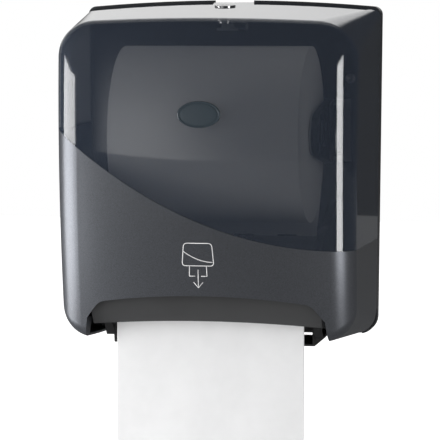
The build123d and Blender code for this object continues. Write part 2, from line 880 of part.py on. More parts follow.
# Drum cap: the smaller shell between the end discs, which closes the drum beside the slot
cap_start = body_end + cap_seam_turn
cap_half_length = disc_inner - cap_side_gap
cap_rib_pitch = 2 * (disc_inner - cap_rib_inset) / (band_count - 1)
with BuildPart() as drum_cap:
    cap_shell = drum_sector(cap_start, cap_start + cap_turn, drum_skin - drum_wall, drum_skin)
    extrude(shifted(cap_shell, -cap_half_length), amount=2 * cap_half_length)
    rib = drum_sector(cap_start + cap_rib_start_turn, cap_start + cap_turn - cap_rib_end_turn,
                      drum_skin - cap_rib_depth, drum_skin - drum_wall / 2)
    for step in range(band_count):
        place = (step - (band_count - 1) / 2) * cap_rib_pitch
        extrude(shifted(rib, place - rib_wall / 2), amount=rib_wall)
write(drum_cap.part, "drum_cap")

# Rubber bands that grip the paper, seated in the larger shell
with BuildPart() as drum_bands:
    band = drum_sector(body_start, body_end, band_seat, drum_radius)
    for place in band_places:
        extrude(shifted(band, place - band_width / 2), amount=band_width)
write(drum_bands.part, "drum_bands")

# Drum shaft: one steel rod from the crank disc to the hand wheel
with BuildPart() as drum_shaft:
    round_bar(-crank_place - crank_wall - shaft_overhang,
              wheel_place + wheel_width + shaft_overhang, drum_centre, shaft_radius)
write(drum_shaft.part, "drum_shaft")

# Hand wheel with a scalloped grip, on the right end of the shaft
with BuildPart() as hand_wheel:
    round_bar(wheel_place, wheel_place + wheel_width, drum_centre, wheel_radius)
    with BuildSketch(Plane.YZ.offset(wheel_place)):
        with Locations(drum_centre):
            with PolarLocations(wheel_radius + scallop_out, wheel_lobes):
                Circle(scallop_radius)
    extrude(amount=wheel_width, mode=Mode.SUBTRACT)
    # dished outer face
    with BuildSketch(Plane.YZ.offset(wheel_place + wheel_floor)):
        with Locations(drum_centre):
            Circle(wheel_radius - wheel_rim)
            Circle(shaft_radius + wheel_hub, mode=Mode.SUBTRACT)
    extrude(amount=wheel_width, mode=Mode.SUBTRACT)
    round_bar(wheel_place, wheel_place + wheel_width, drum_centre, shaft_radius,
              mode=Mode.SUBTRACT)
write(hand_wheel.part, "hand_wheel")

# Crank disc on the left end of the shaft, and the pin that the spring pulls
post_reach = hypot(post_y - drum_y, post_z - drum_z)
toward_post = ((post_y - drum_y) / post_reach, (post_z - drum_z) / post_reach)
crank_pin_place = (drum_y + crank_throw * toward_post[0], drum_z + crank_throw * toward_post[1])
crank_face = -crank_place - crank_wall
with BuildPart() as crank_disc:
    round_bar(-crank_place, crank_face, drum_centre, crank_radius)
    round_bar(-crank_place, crank_face, drum_centre, shaft_radius, mode=Mode.SUBTRACT)
    # two round windows that lighten the disc
    for turn in crank_window_turns:
        spot = atan2(toward_post[1], toward_post[0]) + radians(turn)
        centre = by_drum(crank_window_orbit * cos(spot), crank_window_orbit * sin(spot))
        round_bar(-crank_place, crank_face, centre, crank_window_radius, mode=Mode.SUBTRACT)
write(crank_disc.part, "crank_disc")

crank_pin_end = crank_face - crank_pin_length
with BuildPart() as crank_pin:
    round_bar(crank_face, crank_pin_end, crank_pin_place, crank_pin_radius)
write(crank_pin.part, "crank_pin")

# Spring post on the left side frame, with a head that keeps the spring's loop on
loop_place = -crank_pin_end + spring_side_gap + spring_wire / 2
with BuildPart() as spring_post:
    head = -loop_place - spring_wire
    round_bar(-frame_inner - frame_wall, head, (post_y, post_z), crank_pin_radius)
    round_bar(head, head - post_head_wall, (post_y, post_z), crank_pin_radius + post_head_width)
write(spring_post.part, "spring_post")

# Over-centre spring: coil and both end loops are one unbroken wire
slack = spring_radius - spring_wire / 2 - crank_pin_radius - spring_loop_gap
coil_axis = Vector(0, toward_post[0], toward_post[1])
inwards = Vector(1, 0, 0)
crosswise = coil_axis.cross(inwards)
coil_start = (
    Vector(-loop_place - spring_radius, crank_pin_place[0], crank_pin_place[1])
    + coil_axis * (slack + spring_radius)
)
coil_length = (post_reach - crank_throw) - 2 * (slack + spring_radius)
spring_pitch = coil_length / spring_turns


def coil_point(turns):
    angle = 2 * pi * turns
    around = inwards * cos(angle) + crosswise * sin(angle)
    return coil_start + around * spring_radius + coil_axis * (spring_pitch * turns)


def coil_tangent(turns):
    angle = 2 * pi * turns
    around = crosswise * cos(angle) - inwards * sin(angle)
    return (around * spring_radius + coil_axis * (spring_pitch / (2 * pi))).normalized()


def end_loop(point, heading, outwards):
    """Two arcs that turn the wire round a loop, starting at the coil's end."""
    across = (outwards - heading * outwards.dot(heading)).normalized()
    centre = point + across * spring_radius
    stops = [
        centre + (heading * sin(angle) - across * cos(angle)) * spring_radius
        for angle in [radians(spring_loop_turn) * step / 4 for step in range(5)]
    ]
    ThreePointArc(stops[0], stops[1], stops[2])
    ThreePointArc(stops[2], stops[3], stops[4])


with BuildPart() as overcentre_spring:
    with BuildLine() as wire_path:
        end_loop(coil_point(0), coil_tangent(0) * -1, coil_axis * -1)
        # each half turn is two arcs that meet in line
        for half_turn in range(2 * spring_turns):
            start, end = coil_point(half_turn / 2), coil_point(half_turn / 2 + 0.5)
            leave, arrive = coil_tangent(half_turn / 2), coil_tangent(half_turn / 2 + 0.5)
            chord, both = end - start, leave + arrive
            spread = 2 * (1 - leave.dot(arrive))
            along = chord.dot(both)
            arm = (sqrt(along**2 + spread * chord.dot(chord)) - along) / spread
            joint = (start + end + (leave - arrive) * arm) * 0.5
            TangentArc(start, joint, tangent=leave)
            TangentArc(joint, end, tangent=chord - both * arm)
        end_loop(coil_point(spring_turns), coil_tangent(spring_turns), coil_axis)
    with BuildSketch(Plane(origin=wire_path.wire() @ 0, z_dir=wire_path.wire() % 0)):
        Circle(spring_wire / 2)
    sweep(path=wire_path.wire())
write(overcentre_spring.part, "overcentre_spring")
print("spring: least gap between turns", round(spring_pitch - spring_wire, 2), "mm",
      "wire length", round(wire_path.wire().length, 1), "mm")

# Knife bar: rod, holder and the lever that follows the cam
knife_reach = hypot(knife_tip[0] - knife_pivot[0], knife_tip[1] - knife_pivot[1])
knife_line = (
    (knife_tip[0] - knife_pivot[0]) / knife_reach,
    (knife_tip[1] - knife_pivot[1]) / knife_reach,
)


def along_knife(distance):
    return (knife_pivot[0] + distance * knife_line[0], knife_pivot[1] + distance * knife_line[1])


follower_place = in_slot_frame(
    follower_orbit * cos(radians(follower_turn)), -follower_orbit * sin(radians(follower_turn))
)
lever_face = -lever_place - lever_wall
blade_plane = Plane(
    origin=(0, *knife_pivot), x_dir=(1, 0, 0), z_dir=(0, -knife_line[1], knife_line[0])
)
with BuildPart() as knife_bar:
    holder_tip = (along_knife(holder_reach), knife_holder_radius)
    pivot_hull([(knife_pivot, knife_bar_radius), holder_tip], -knife_half_length,
               2 * knife_half_length)
    round_bar(lever_face, lever_place + knife_rod_end, knife_pivot, knife_rod_radius)
    lever_ends = [(knife_pivot, lever_pivot_radius), (follower_place, lever_end_radius)]
    pivot_hull(lever_ends, lever_face, lever_wall)
    with BuildSketch(blade_plane.offset(-blade_wall / 2)):
        with Locations((0, blade_root)):
            Rectangle(2 * knife_half_length, knife_reach, align=(Align.CENTER, Align.MIN))
    extrude(amount=blade_wall, mode=Mode.SUBTRACT)
write(knife_bar.part, "knife_bar")

# Knife blade: serrated steel strip let into the holder
teeth = int(2 * knife_half_length / tooth_pitch)
blade_half = teeth * tooth_pitch / 2
with BuildPart() as knife_blade:
    with BuildSketch(blade_plane.offset(-blade_wall / 2)):
        with BuildLine():
            saw = [(-blade_half, knife_reach - tooth_height)]
            for tooth in range(teeth):
                left = -blade_half + tooth * tooth_pitch
                saw.append((left + tooth_pitch / 2, knife_reach))
                saw.append((left + tooth_pitch, knife_reach - tooth_height))
            Polyline(*saw, (blade_half, blade_root), (-blade_half, blade_root), saw[0])
        make_face()
    extrude(amount=blade_wall)
write(knife_blade.part, "knife_blade")

# Follower pin at the lever's end, running in the cam plate's track
with BuildPart() as follower_pin:
    round_bar(lever_face, follower_end_gap - frame_inner, follower_place, follower_radius)
write(follower_pin.part, "follower_pin")

# Cam plate: island and outer wall between which the follower runs
cam_gap = 0.5
cam_crest = follower_orbit - follower_radius - cam_gap
cam_nose = 6.0
cam_hub_radius = 14.0
cam_wall = 1.4
cam_bore_gap = 1.0
cam_top = lever_face - cam_gap
cam_floor = cam_wall - frame_inner
with BuildPart() as cam_plate:
    round_bar(-frame_inner, cam_floor, drum_centre, cam_track_outer + cam_rim)
    island_ends = [(drum_centre, cam_hub_radius), (on_drum(0, cam_crest - cam_nose), cam_nose)]
    pivot_hull(island_ends, cam_floor, cam_top - cam_floor)
    with BuildSketch(Plane.YZ.offset(cam_floor)):
        with Locations(drum_centre):
            Circle(cam_track_outer + cam_rim)
            Circle(cam_track_outer, mode=Mode.SUBTRACT)
    extrude(amount=cam_top - cam_floor)
    round_bar(-frame_inner, cam_top, drum_centre, shaft_radius + cam_bore_gap, mode=Mode.SUBTRACT)
write(cam_plate.part, "cam_plate")

# Pressure roller on its shaft, carried by a pair of arms on the pivot rod
press_distance = drum_radius + 2 * paper_gap + paper_thickness + press_radius
press_centre = on_drum(press_direction, press_distance)
press_pivot_place = (press_pivot_y, press_pivot_z)
with BuildPart() as press_roller:
    round_bar(-press_half_length, press_half_length, press_centre, press_radius - press_core_depth)
    grip_half = band_width / 2 + press_band_margin
    for place in band_places:
        round_bar(place - grip_half, place + grip_half, press_centre, press_radius)
    round_bar(-press_half_length, press_half_length, press_centre, press_shaft_radius,
              mode=Mode.SUBTRACT)
write(press_roller.part, "press_roller")

arm_outer = press_arm_inner + press_arm_wall
with BuildPart() as press_shaft:
    round_bar(-arm_outer - shaft_overhang, arm_outer + shaft_overhang, press_centre,
              press_shaft_radius)
write(press_shaft.part, "press_shaft")

bridge_share = 0.3
bridge_lift = 1.0
bridge_width = 8.0
bridge_height = 4.0
bridge_centre = (
    press_pivot_y + bridge_share * (press_centre[0] - press_pivot_y),
    press_pivot_z + bridge_share * (press_centre[1] - press_pivot_z) + bridge_lift,
)
with BuildPart() as press_arms:
    ends = [(press_pivot_place, press_arm_pivot_end), (press_centre, press_arm_roller_end)]
    for start in (-arm_outer, press_arm_inner):
        pivot_hull(ends, start, press_arm_wall)
    with Locations((0, *bridge_centre)):
        Box(2 * press_arm_inner + press_arm_wall, bridge_width, bridge_height)
    round_bar(-arm_outer, arm_outer, press_pivot_place, press_pivot_radius + running_gap,
              mode=Mode.SUBTRACT)
    round_bar(-arm_outer, arm_outer, press_centre, press_shaft_radius + running_gap,
              mode=Mode.SUBTRACT)
write(press_arms.part, "press_arms")

# Roll holders: a fixed arm on the left, and one on the right that swings out for loading
roll_centre = (roll_y, roll_z)


def holder_arm(side, root):
    """Arm with a rim and a long window, from y = root to the roll's axis."""
    with BuildPart() as arm:
        with BuildSketch(Plane.YZ.offset(side * arm_inner)) as outline:
            with Locations(roll_centre):
                Circle(arm_tip)
            with Locations((root - arm_root / 2, roll_z)):
                Rectangle(arm_root, 2 * arm_half_height)
            make_hull()
        extrude(amount=side * arm_wall)
        with BuildSketch(Plane.YZ.offset(side * (arm_inner + arm_wall))):
            add(outline.sketch_local)
            offset(outline.sketch_local, amount=-arm_rim_width, mode=Mode.SUBTRACT)
        extrude(amount=side * arm_rim_height)
        with BuildSketch(Plane.YZ.offset(side * arm_inner)):
            with Locations((root - arm_window_place, roll_z)):
                RectangleRounded(arm_window_length, arm_window_height, arm_root)
        extrude(amount=side * arm_wall, mode=Mode.SUBTRACT)
    return arm.part


with BuildPart() as roll_arm_left:
    add(holder_arm(-1, -plate_wall))
    with Locations((-arm_inner, -plate_wall, roll_z)):
        Box(arm_foot_width, arm_foot_wall, 2 * arm_half_height,
            align=(Align.MAX, Align.MAX, Align.CENTER))
write(roll_arm_left.part, "roll_arm_left")

with BuildPart() as roll_arm_right:
    add(holder_arm(1, -hinge_set_back))
    with Locations((arm_inner + arm_wall / 2, arm_pin_y - knuckle_plate_shift, roll_z)):
        Box(arm_wall, knuckle_plate, 2 * knuckle_half)
    with Locations((arm_inner + arm_wall / 2, arm_pin_y, roll_z)):
        Box(arm_pin_x - arm_inner - arm_wall / 2, knuckle_web, 2 * knuckle_half,
            align=(Align.MIN, Align.CENTER, Align.CENTER))
    with BuildSketch(Plane.XY.offset(roll_z - knuckle_half)):
        with Locations((arm_pin_x, arm_pin_y)):
            Circle(knuckle_radius)
    extrude(amount=2 * knuckle_half)
    with BuildSketch(Plane.XY.offset(roll_z - knuckle_half)):
        with Locations((arm_pin_x, arm_pin_y)):
            Circle(arm_pin_radius + running_gap)
    extrude(amount=2 * knuckle_half, mode=Mode.SUBTRACT)
write(roll_arm_right.part, "roll_arm_right")

bracket_half = knuckle_half + bracket_ear_gap + bracket_ear_height
with BuildPart() as arm_bracket:
    with Locations((arm_pin_x, -plate_wall - bracket_wall / 2, roll_z)):
        Box(bracket_width, bracket_wall, 2 * bracket_half)
    for start in (-bracket_half, knuckle_half + bracket_ear_gap):
        with BuildSketch(Plane.XY.offset(roll_z + start)):
            with Locations((arm_pin_x, arm_pin_y)):
                Circle(knuckle_radius)
            with Locations((arm_pin_x, -plate_wall)):
                Rectangle(2 * knuckle_radius, -arm_pin_y - plate_wall,
                          align=(Align.CENTER, Align.MAX))
            with Locations((arm_pin_x, arm_pin_y)):
                Circle(arm_pin_radius, mode=Mode.SUBTRACT)
        extrude(amount=bracket_ear_height)
write(arm_bracket.part, "arm_bracket")

with BuildPart() as arm_pin:
    with BuildSketch(Plane.XY.offset(roll_z - bracket_half)):
        with Locations((arm_pin_x, arm_pin_y)):
            Circle(arm_pin_radius)
    extrude(amount=2 * bracket_half)
write(arm_pin.part, "arm_pin")

# Hubs: tapered plugs that the roll's core turns on
hub_radius = core_radius - core_wall - hub_gap
hub_tip = hub_radius - hub_taper
flange_face = arm_inner - hub_flange_wall
for side, name in ((-1, "roll_hub_left"), (1, "roll_hub_right")):
    with BuildPart() as roll_hub:
        with BuildSketch(Plane.XY):
            with BuildLine():
                Polyline(
                    (side * arm_inner, 0),
                    (side * arm_inner, hub_radius + hub_flange_width),
                    (side * flange_face, hub_radius + hub_flange_width),
                    (side * flange_face, hub_radius),
                    (side * (arm_inner - hub_depth), hub_tip),
                    (side * (arm_inner - hub_depth), hub_tip - hub_wall),
                    (side * (flange_face - hub_face_wall), hub_tip - hub_wall),
                    (side * (flange_face - hub_face_wall), 0),
                    close=True,
                )
            make_face()
        revolve(axis=Axis.X)
    write(roll_hub.part.moved(Location((0, roll_y, roll_z))), name)

# Towel roll on its cardboard core
with BuildPart() as roll_core:
    round_bar(-towel_width / 2, towel_width / 2, roll_centre, core_radius)
    round_bar(-towel_width / 2, towel_width / 2, roll_centre, core_radius - core_wall,
              mode=Mode.SUBTRACT)
write(roll_core.part, "roll_core")

with BuildPart() as paper_roll:
    round_bar(-towel_width / 2, towel_width / 2, roll_centre, roll_radius)
    round_bar(-towel_width / 2, towel_width / 2, roll_centre, core_radius, mode=Mode.SUBTRACT)
write(paper_roll.part, "paper_roll")


def from_rear(centre, angle, radius):
    """Point (y, z) at an angle in degrees from +Y, positive upwards."""
    return (centre[0] + radius * cos(radians(angle)), centre[1] + radius * sin(radians(angle)))


# Paper web: off the back of the roll, round the pressure roller and over the drum
layer = paper_gap + paper_thickness / 2
span_y = press_centre[0] - roll_y
span_z = press_centre[1] - roll_z
tangent_angle = degrees(
    atan2(span_z, span_y) + acos((roll_radius - press_radius) / hypot(span_y, span_z))
)
nip_angle = degrees(atan2(drum_z - press_centre[1], drum_y - press_centre[0]))
top_angle = 180 - press_direction
web_wrap = 25.0
tail_top = drum_z - 24.0
with BuildPart() as paper_web:
    with BuildLine(Plane.YZ) as web_path:
        ThreePointArc(
            from_rear(roll_centre, tangent_angle + web_wrap, roll_radius + layer),
            from_rear(roll_centre, tangent_angle + web_wrap / 2, roll_radius + layer),
            from_rear(roll_centre, tangent_angle, roll_radius + layer),
        )
        Line(
            from_rear(roll_centre, tangent_angle, roll_radius + layer),
            from_rear(press_centre, tangent_angle, press_radius + layer),
        )
        ThreePointArc(
            from_rear(press_centre, tangent_angle, press_radius + layer),
            from_rear(press_centre, (tangent_angle + nip_angle) / 2, press_radius + layer),
            from_rear(press_centre, nip_angle, press_radius + layer),
        )
        ThreePointArc(
            from_rear(drum_centre, top_angle, drum_radius + layer),
            from_rear(drum_centre, (top_angle + 180) / 2, drum_radius + layer),
            from_rear(drum_centre, 180, drum_radius + layer),
        )
        Line(
            from_rear(drum_centre, 180, drum_radius + layer),
            (drum_y - drum_radius - layer, tail_top),
        )
    with BuildSketch(Plane(origin=web_path.wire() @ 0, x_dir=(1, 0, 0), z_dir=web_path.wire() % 0)):
        Rectangle(towel_width, paper_thickness)
    sweep(path=web_path.wire())
write(paper_web.part, "paper_web")

# Paper tail: the free end, hanging with a slight bow that grows towards its lower edge
tail_y = drum_y - drum_radius - layer
top_bow = 0.2
middle_bow = 0.4 * tail_bow
middle_lean = 0.3 * tail_lean
with BuildPart() as paper_tail:
    for height, bow, lean in (
        (tail_top, top_bow, 0),
        ((tail_top + tail_end) / 2, middle_bow, middle_lean),
        (tail_end, tail_bow, tail_lean),
    ):
        half = towel_width / 2
        front = tail_y - lean - paper_thickness / 2
        back = tail_y - lean + paper_thickness / 2
        with BuildSketch(Plane.XY.offset(height)):
            with BuildLine():
                ThreePointArc((-half, front), (0, front - bow), (half, front))
                Line((half, front), (half, back))
                ThreePointArc((half, back), (0, back - bow), (-half, back))
                Line((-half, back), (-half, front))
            make_face()
    loft()
write(paper_tail.part, "paper_tail")
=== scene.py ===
from math import cos, pi, radians, sin

import bmesh
import bpy
import numpy as np
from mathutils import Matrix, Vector


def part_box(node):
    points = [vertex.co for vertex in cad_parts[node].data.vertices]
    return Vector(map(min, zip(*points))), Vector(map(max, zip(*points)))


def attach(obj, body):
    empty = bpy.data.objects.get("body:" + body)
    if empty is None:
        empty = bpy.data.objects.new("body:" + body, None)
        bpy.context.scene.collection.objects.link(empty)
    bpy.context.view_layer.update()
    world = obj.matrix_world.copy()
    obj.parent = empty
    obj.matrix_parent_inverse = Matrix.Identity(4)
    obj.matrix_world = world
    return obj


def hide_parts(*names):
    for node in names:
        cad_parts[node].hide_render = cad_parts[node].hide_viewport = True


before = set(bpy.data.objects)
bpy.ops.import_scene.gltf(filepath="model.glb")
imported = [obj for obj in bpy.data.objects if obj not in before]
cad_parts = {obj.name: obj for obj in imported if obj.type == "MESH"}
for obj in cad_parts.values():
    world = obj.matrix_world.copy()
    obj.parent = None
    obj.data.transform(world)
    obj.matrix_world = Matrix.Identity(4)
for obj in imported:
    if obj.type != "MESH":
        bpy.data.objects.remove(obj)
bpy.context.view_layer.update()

# Back plate.
# A moulded tray of dark plastic screwed to the wall, with a fine spark-eroded grain left by its
# mould. Its stepped rim shows as a narrow strip behind the cover.
def new_material(name):
    """Empty node material, its output node and its Principled shader."""
    material = bpy.data.materials.new(name)
    material.use_nodes = True
    material.node_tree.nodes.clear()
    output = material.node_tree.nodes.new("ShaderNodeOutputMaterial")
    shader = material.node_tree.nodes.new("ShaderNodeBsdfPrincipled")
    material.node_tree.links.new(shader.outputs["BSDF"], output.inputs["Surface"])
    return material, material.node_tree, shader


def new_group(name, inputs, outputs):
    """Shader node group with named sockets, each input given as (name, kind, default)."""
    group = bpy.data.node_groups.new(name, "ShaderNodeTree")
    for label, kind, default in inputs:
        socket = group.interface.new_socket(label, in_out="INPUT", socket_type=kind)
        socket.default_value = default
    for label, kind in outputs:
        group.interface.new_socket(label, in_out="OUTPUT", socket_type=kind)
    return group, group.nodes.new("NodeGroupInput"), group.nodes.new("NodeGroupOutput")


surface_outputs = [
    ("Colour", "NodeSocketColor"),
    ("Roughness", "NodeSocketFloat"),
    ("Height", "NodeSocketFloat"),
]
grain, grain_in, grain_out = new_group(
    "moulding grain",
    [
        ("Colour", "NodeSocketColor", (0.5, 0.5, 0.5, 1.0)),
        ("Mottle", "NodeSocketFloat", 0.08),
        ("Grain Scale", "NodeSocketFloat", 1800.0),
        ("Roughness", "NodeSocketFloat", 0.4),
        ("Roughness Spread", "NodeSocketFloat", 0.06),
    ],
    surface_outputs,
)
place = grain.nodes.new("ShaderNodeTexCoord")
speckle = grain.nodes.new("ShaderNodeTexNoise")
speckle.inputs["Detail"].default_value = 3.0
flow = grain.nodes.new("ShaderNodeTexNoise")
flow.inputs["Scale"].default_value = 22.0
flow.inputs["Detail"].default_value = 4.0
shade = grain.nodes.new("ShaderNodeMapRange")
shade.inputs["From Min"].default_value = 0.3
shade.inputs["From Max"].default_value = 0.7
darker = grain.nodes.new("ShaderNodeMath")
darker.operation = "SUBTRACT"
darker.inputs[0].default_value = 1.0
tint = grain.nodes.new("ShaderNodeVectorMath")
tint.operation = "SCALE"
haze = grain.nodes.new("ShaderNodeMath")
haze.operation = "MULTIPLY_ADD"
grain.links.new(place.outputs["Object"], speckle.inputs["Vector"])
grain.links.new(grain_in.outputs["Grain Scale"], speckle.inputs["Scale"])
grain.links.new(place.outputs["Object"], flow.inputs["Vector"])
grain.links.new(flow.outputs["Fac"], shade.inputs["Value"])
grain.links.new(grain_in.outputs["Mottle"], darker.inputs[1])
grain.links.new(darker.outputs["Value"], shade.inputs["To Min"])
grain.links.new(grain_in.outputs["Colour"], tint.inputs[0])
grain.links.new(shade.outputs["Result"], tint.inputs["Scale"])
grain.links.new(speckle.outputs["Fac"], haze.inputs[0])
grain.links.new(grain_in.outputs["Roughness Spread"], haze.inputs[1])
grain.links.new(grain_in.outputs["Roughness"], haze.inputs[2])
grain.links.new(tint.outputs["Vector"], grain_out.inputs["Colour"])
grain.links.new(haze.outputs["Value"], grain_out.inputs["Roughness"])
grain.links.new(speckle.outputs["Fac"], grain_out.inputs["Height"])


def relief_finish(name, group, colour, roughness, depth, strength):
    """Material whose colour, roughness and relief come from a node group, with the depth of the
    relief in metres; gives back the material, the group's node and the shader."""
    material, tree, shader = new_material(name)
    surface = tree.nodes.new("ShaderNodeGroup")
    surface.node_tree = group
    surface.inputs["Colour"].default_value = (*colour, 1.0)
    surface.inputs["Roughness"].default_value = roughness
    bump = tree.nodes.new("ShaderNodeBump")
    bump.inputs["Strength"].default_value = strength
    bump.inputs["Distance"].default_value = depth
    tree.links.new(surface.outputs["Colour"], shader.inputs["Base Color"])
    tree.links.new(surface.outputs["Roughness"], shader.inputs["Roughness"])
    tree.links.new(surface.outputs["Height"], bump.inputs["Height"])
    tree.links.new(bump.outputs["Normal"], shader.inputs["Normal"])
    return material, surface, shader


def moulded_plastic(name, colour, roughness, grain_depth, mottle=0.1):
    """Plastic with a mould's grain; the depth of the grain is in metres."""
    material, surface, shader = relief_finish(name, grain, colour, roughness, grain_depth, strength=0.5)
    surface.inputs["Mottle"].default_value = mottle
    shader.inputs["IOR"].default_value = 1.5
    return material


def finish_node(material, slot_name, *names):
    """Puts a material on CAD nodes; slot_name is not used."""
    for name in names:
        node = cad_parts[name]
        node.data.materials.clear()
        node.data.materials.append(material)


plate_plastic = moulded_plastic("back plate plastic", (0.030, 0.032, 0.036), 0.24, 0.00002)
finish_node(plate_plastic, "dark_plastic", "back_plate")

# Steel parts.
# The catch bracket and the right roll holder's bracket are pressed from plated steel sheet. The
# pins, shafts, pivots and the spring post are cut from bright drawn steel rod.
drawn, drawn_in, drawn_out = new_group(
    "drawn steel",
    [("Colour", "NodeSocketColor", (0.6, 0.6, 0.62, 1.0)), ("Roughness", "NodeSocketFloat", 0.3)],
    surface_outputs,
)
line_scale = (40.0, 3000.0, 3000.0)
line_roughness = 0.15
line_depth = 0.00003
place = drawn.nodes.new("ShaderNodeTexCoord")
lines = drawn.nodes.new("ShaderNodeMapping")
lines.inputs["Scale"].default_value = line_scale
scratch = drawn.nodes.new("ShaderNodeTexNoise")
scratch.inputs["Scale"].default_value = 1.0
scratch.inputs["Detail"].default_value = 3.0
shade = drawn.nodes.new("ShaderNodeMapRange")
shade.inputs["To Min"].default_value = 0.8
shade.inputs["To Max"].default_value = 1.1
tint = drawn.nodes.new("ShaderNodeVectorMath")
tint.operation = "SCALE"
haze = drawn.nodes.new("ShaderNodeMath")
haze.operation = "MULTIPLY_ADD"
haze.inputs[1].default_value = line_roughness
drawn.links.new(place.outputs["Object"], lines.inputs["Vector"])
drawn.links.new(lines.outputs["Vector"], scratch.inputs["Vector"])
drawn.links.new(scratch.outputs["Fac"], shade.inputs["Value"])
drawn.links.new(drawn_in.outputs["Colour"], tint.inputs[0])
drawn.links.new(shade.outputs["Result"], tint.inputs["Scale"])
drawn.links.new(scratch.outputs["Fac"], haze.inputs[0])
drawn.links.new(drawn_in.outputs["Roughness"], haze.inputs[2])
drawn.links.new(tint.outputs["Vector"], drawn_out.inputs["Colour"])
drawn.links.new(haze.outputs["Value"], drawn_out.inputs["Roughness"])
drawn.links.new(scratch.outputs["Fac"], drawn_out.inputs["Height"])


def steel_finish(name, colour, roughness):
    """Metal with fine lines along X, as drawn or ground steel has."""
    material, _, shader = relief_finish(name, drawn, colour, roughness, line_depth, strength=0.3)
    shader.inputs["Metallic"].default_value = 1.0
    return material


rod_steel = steel_finish("bright rod steel", (0.62, 0.62, 0.63), 0.22)
finish_node(rod_steel, "steel", "hinge_pins", "press_pivot", "spring_post", "arm_pin",
            "drum_shaft", "press_shaft", "crank_pin", "follower_pin")
bracket_steel = steel_finish("bracket steel", (0.40, 0.40, 0.41), 0.34)
finish_node(bracket_steel, "steel", "catch_bracket", "arm_bracket")

# Wall screws.
# Four zinc plated steel screws with pan heads and a round socket. They go through the back
# plate's bosses and hold the dispenser to the wall.
def grid_mesh(name, points):
    """Mesh with one vertex for each point of a grid and one quad for each of its cells."""
    rows, columns = points.shape[:2]
    index = np.arange(rows * columns).reshape(rows, columns)
    quads = np.stack([index[:-1, :-1], index[1:, :-1], index[1:, 1:], index[:-1, 1:]], -1)
    mesh = bpy.data.meshes.new(name)
    mesh.from_pydata(points.reshape(-1, 3).tolist(), [], quads.reshape(-1, 4).tolist())
    mesh.polygons.foreach_set("use_smooth", np.ones(len(mesh.polygons), bool))
    mesh.update()
    piece = bpy.data.objects.new(name, mesh)
    bpy.context.scene.collection.objects.link(piece)
    return piece


def closed_mesh(name, points):
    """Mesh over a grid whose last column meets its first and whose end rows close on a point or
    on a line; the doubled points are merged and the faces turned outwards."""
    piece = grid_mesh(name, points)
    solid = bmesh.new()
    solid.from_mesh(piece.data)
    bmesh.ops.remove_doubles(solid, verts=solid.verts, dist=0.000001)
    bmesh.ops.recalc_face_normals(solid, faces=solid.faces)
    solid.to_mesh(piece.data)
    solid.free()
    return piece


millimetre = 0.001
screw_x = 0.130
screw_z = 0.100
boss_top = -0.0065
# each point is a radius and a height above the boss
screw_profile = millimetre * np.array([
    (0.0, 0.6), (1.4, 0.6), (1.7, 1.9), (2.6, 2.3), (4.2, 1.9), (5.2, 1.1), (5.6, 0.0),
    (2.7, -0.02), (2.6, -6.0), (0.0, -6.0),
])
screw_steel = steel_finish("screw steel", (0.50, 0.50, 0.51), 0.3)


def wall_screw(x, z, columns=33):
    """Pan head screw: each point lies at the profile's radius times the cosine and sine of the
    turn, and at the profile's height in front of the boss."""
    radius, height = screw_profile.T[:, :, None]
    turn = np.linspace(0, 2 * pi, columns)[None, :]
    depth = boss_top - height + 0 * turn
    return np.stack([x + radius * np.cos(turn), depth, z + radius * np.sin(turn)], -1)


for side_name, x_side in (("left", -1), ("right", 1)):
    for level_name, z_side in (("low", -1), ("high", 1)):
        screw_points = wall_screw(x_side * screw_x, z_side * screw_z)
        screw = closed_mesh(f"wall_screw_{side_name}_{level_name}", screw_points)
        screw.data.materials.append(screw_steel)
        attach(screw, "base")

# Side frames, chute, bushes and cam plate.
# Black glass-filled mouldings that carry the drum and the pressure roller, screwed to the back
# plate. The bushes and the cam plate, which things rub on, are white slippery plastic.
frame_plastic = moulded_plastic("drum frame plastic", (0.022, 0.022, 0.024), 0.5, 0.0001)
finish_node(frame_plastic, "frame_plastic", "side_frame_left", "side_frame_right", "press_arms")
finish_node(frame_plastic, "dark_plastic", "rear_chute")
bush_plastic = moulded_plastic("bush plastic", (0.72, 0.72, 0.69), 0.42, 0.00004)
finish_node(bush_plastic, "white_plastic", "drum_bushes", "cam_plate")

# Drum guard.
# The matt dark grey lip in front of the drum, moulded in one piece, which the hand notch leaves
# open to view. Its two ends turn back round a small radius beside the notch's edges.
guard_plastic = moulded_plastic("guard plastic", (0.050, 0.051, 0.053), 0.55, 0.00012)
finish_node(guard_plastic, "guard_plastic", "drum_guard")

guard_end = 0.1232
guard_front = np.array([-0.1864, -0.121])
guard_lip = np.array([-0.168, -0.162])
guard_middle = np.array([-0.1392, -0.1228])
front_trim = 0.28
lip_trim = 0.04
end_wall = 0.0012
end_proud = 0.0008
turn_width = 0.0048
turn_depth = 0.016


def guard_angle(point):
    """Angle of a point (y, z) of the section about the guard's middle, from 0 to a full turn."""
    y, z = point - guard_middle
    return np.arctan2(z, y) % (2 * pi)


def turned_end(side, rows=28, columns=14):
    """End of the guard: points of the guard's section, an arc about its middle, carried round a
    quarter of an ellipse that leads outwards and back. The left end's columns run the other way,
    so that both ends face outwards."""
    start = guard_angle(guard_front) + front_trim
    angle = np.linspace(start, guard_angle(guard_lip) - lip_trim, rows)[:, None]
    radius = np.linalg.norm(guard_front - guard_middle) + end_proud
    t = np.linspace(0, pi / 2, columns)[None, ::side]
    x = side * (guard_end + turn_width * np.sin(t)) + 0 * angle
    y = guard_middle[0] + radius * np.cos(angle) + turn_depth * (1 - np.cos(t))
    z = guard_middle[1] + radius * np.sin(angle) + 0 * t
    return np.stack([x, y, z], -1)


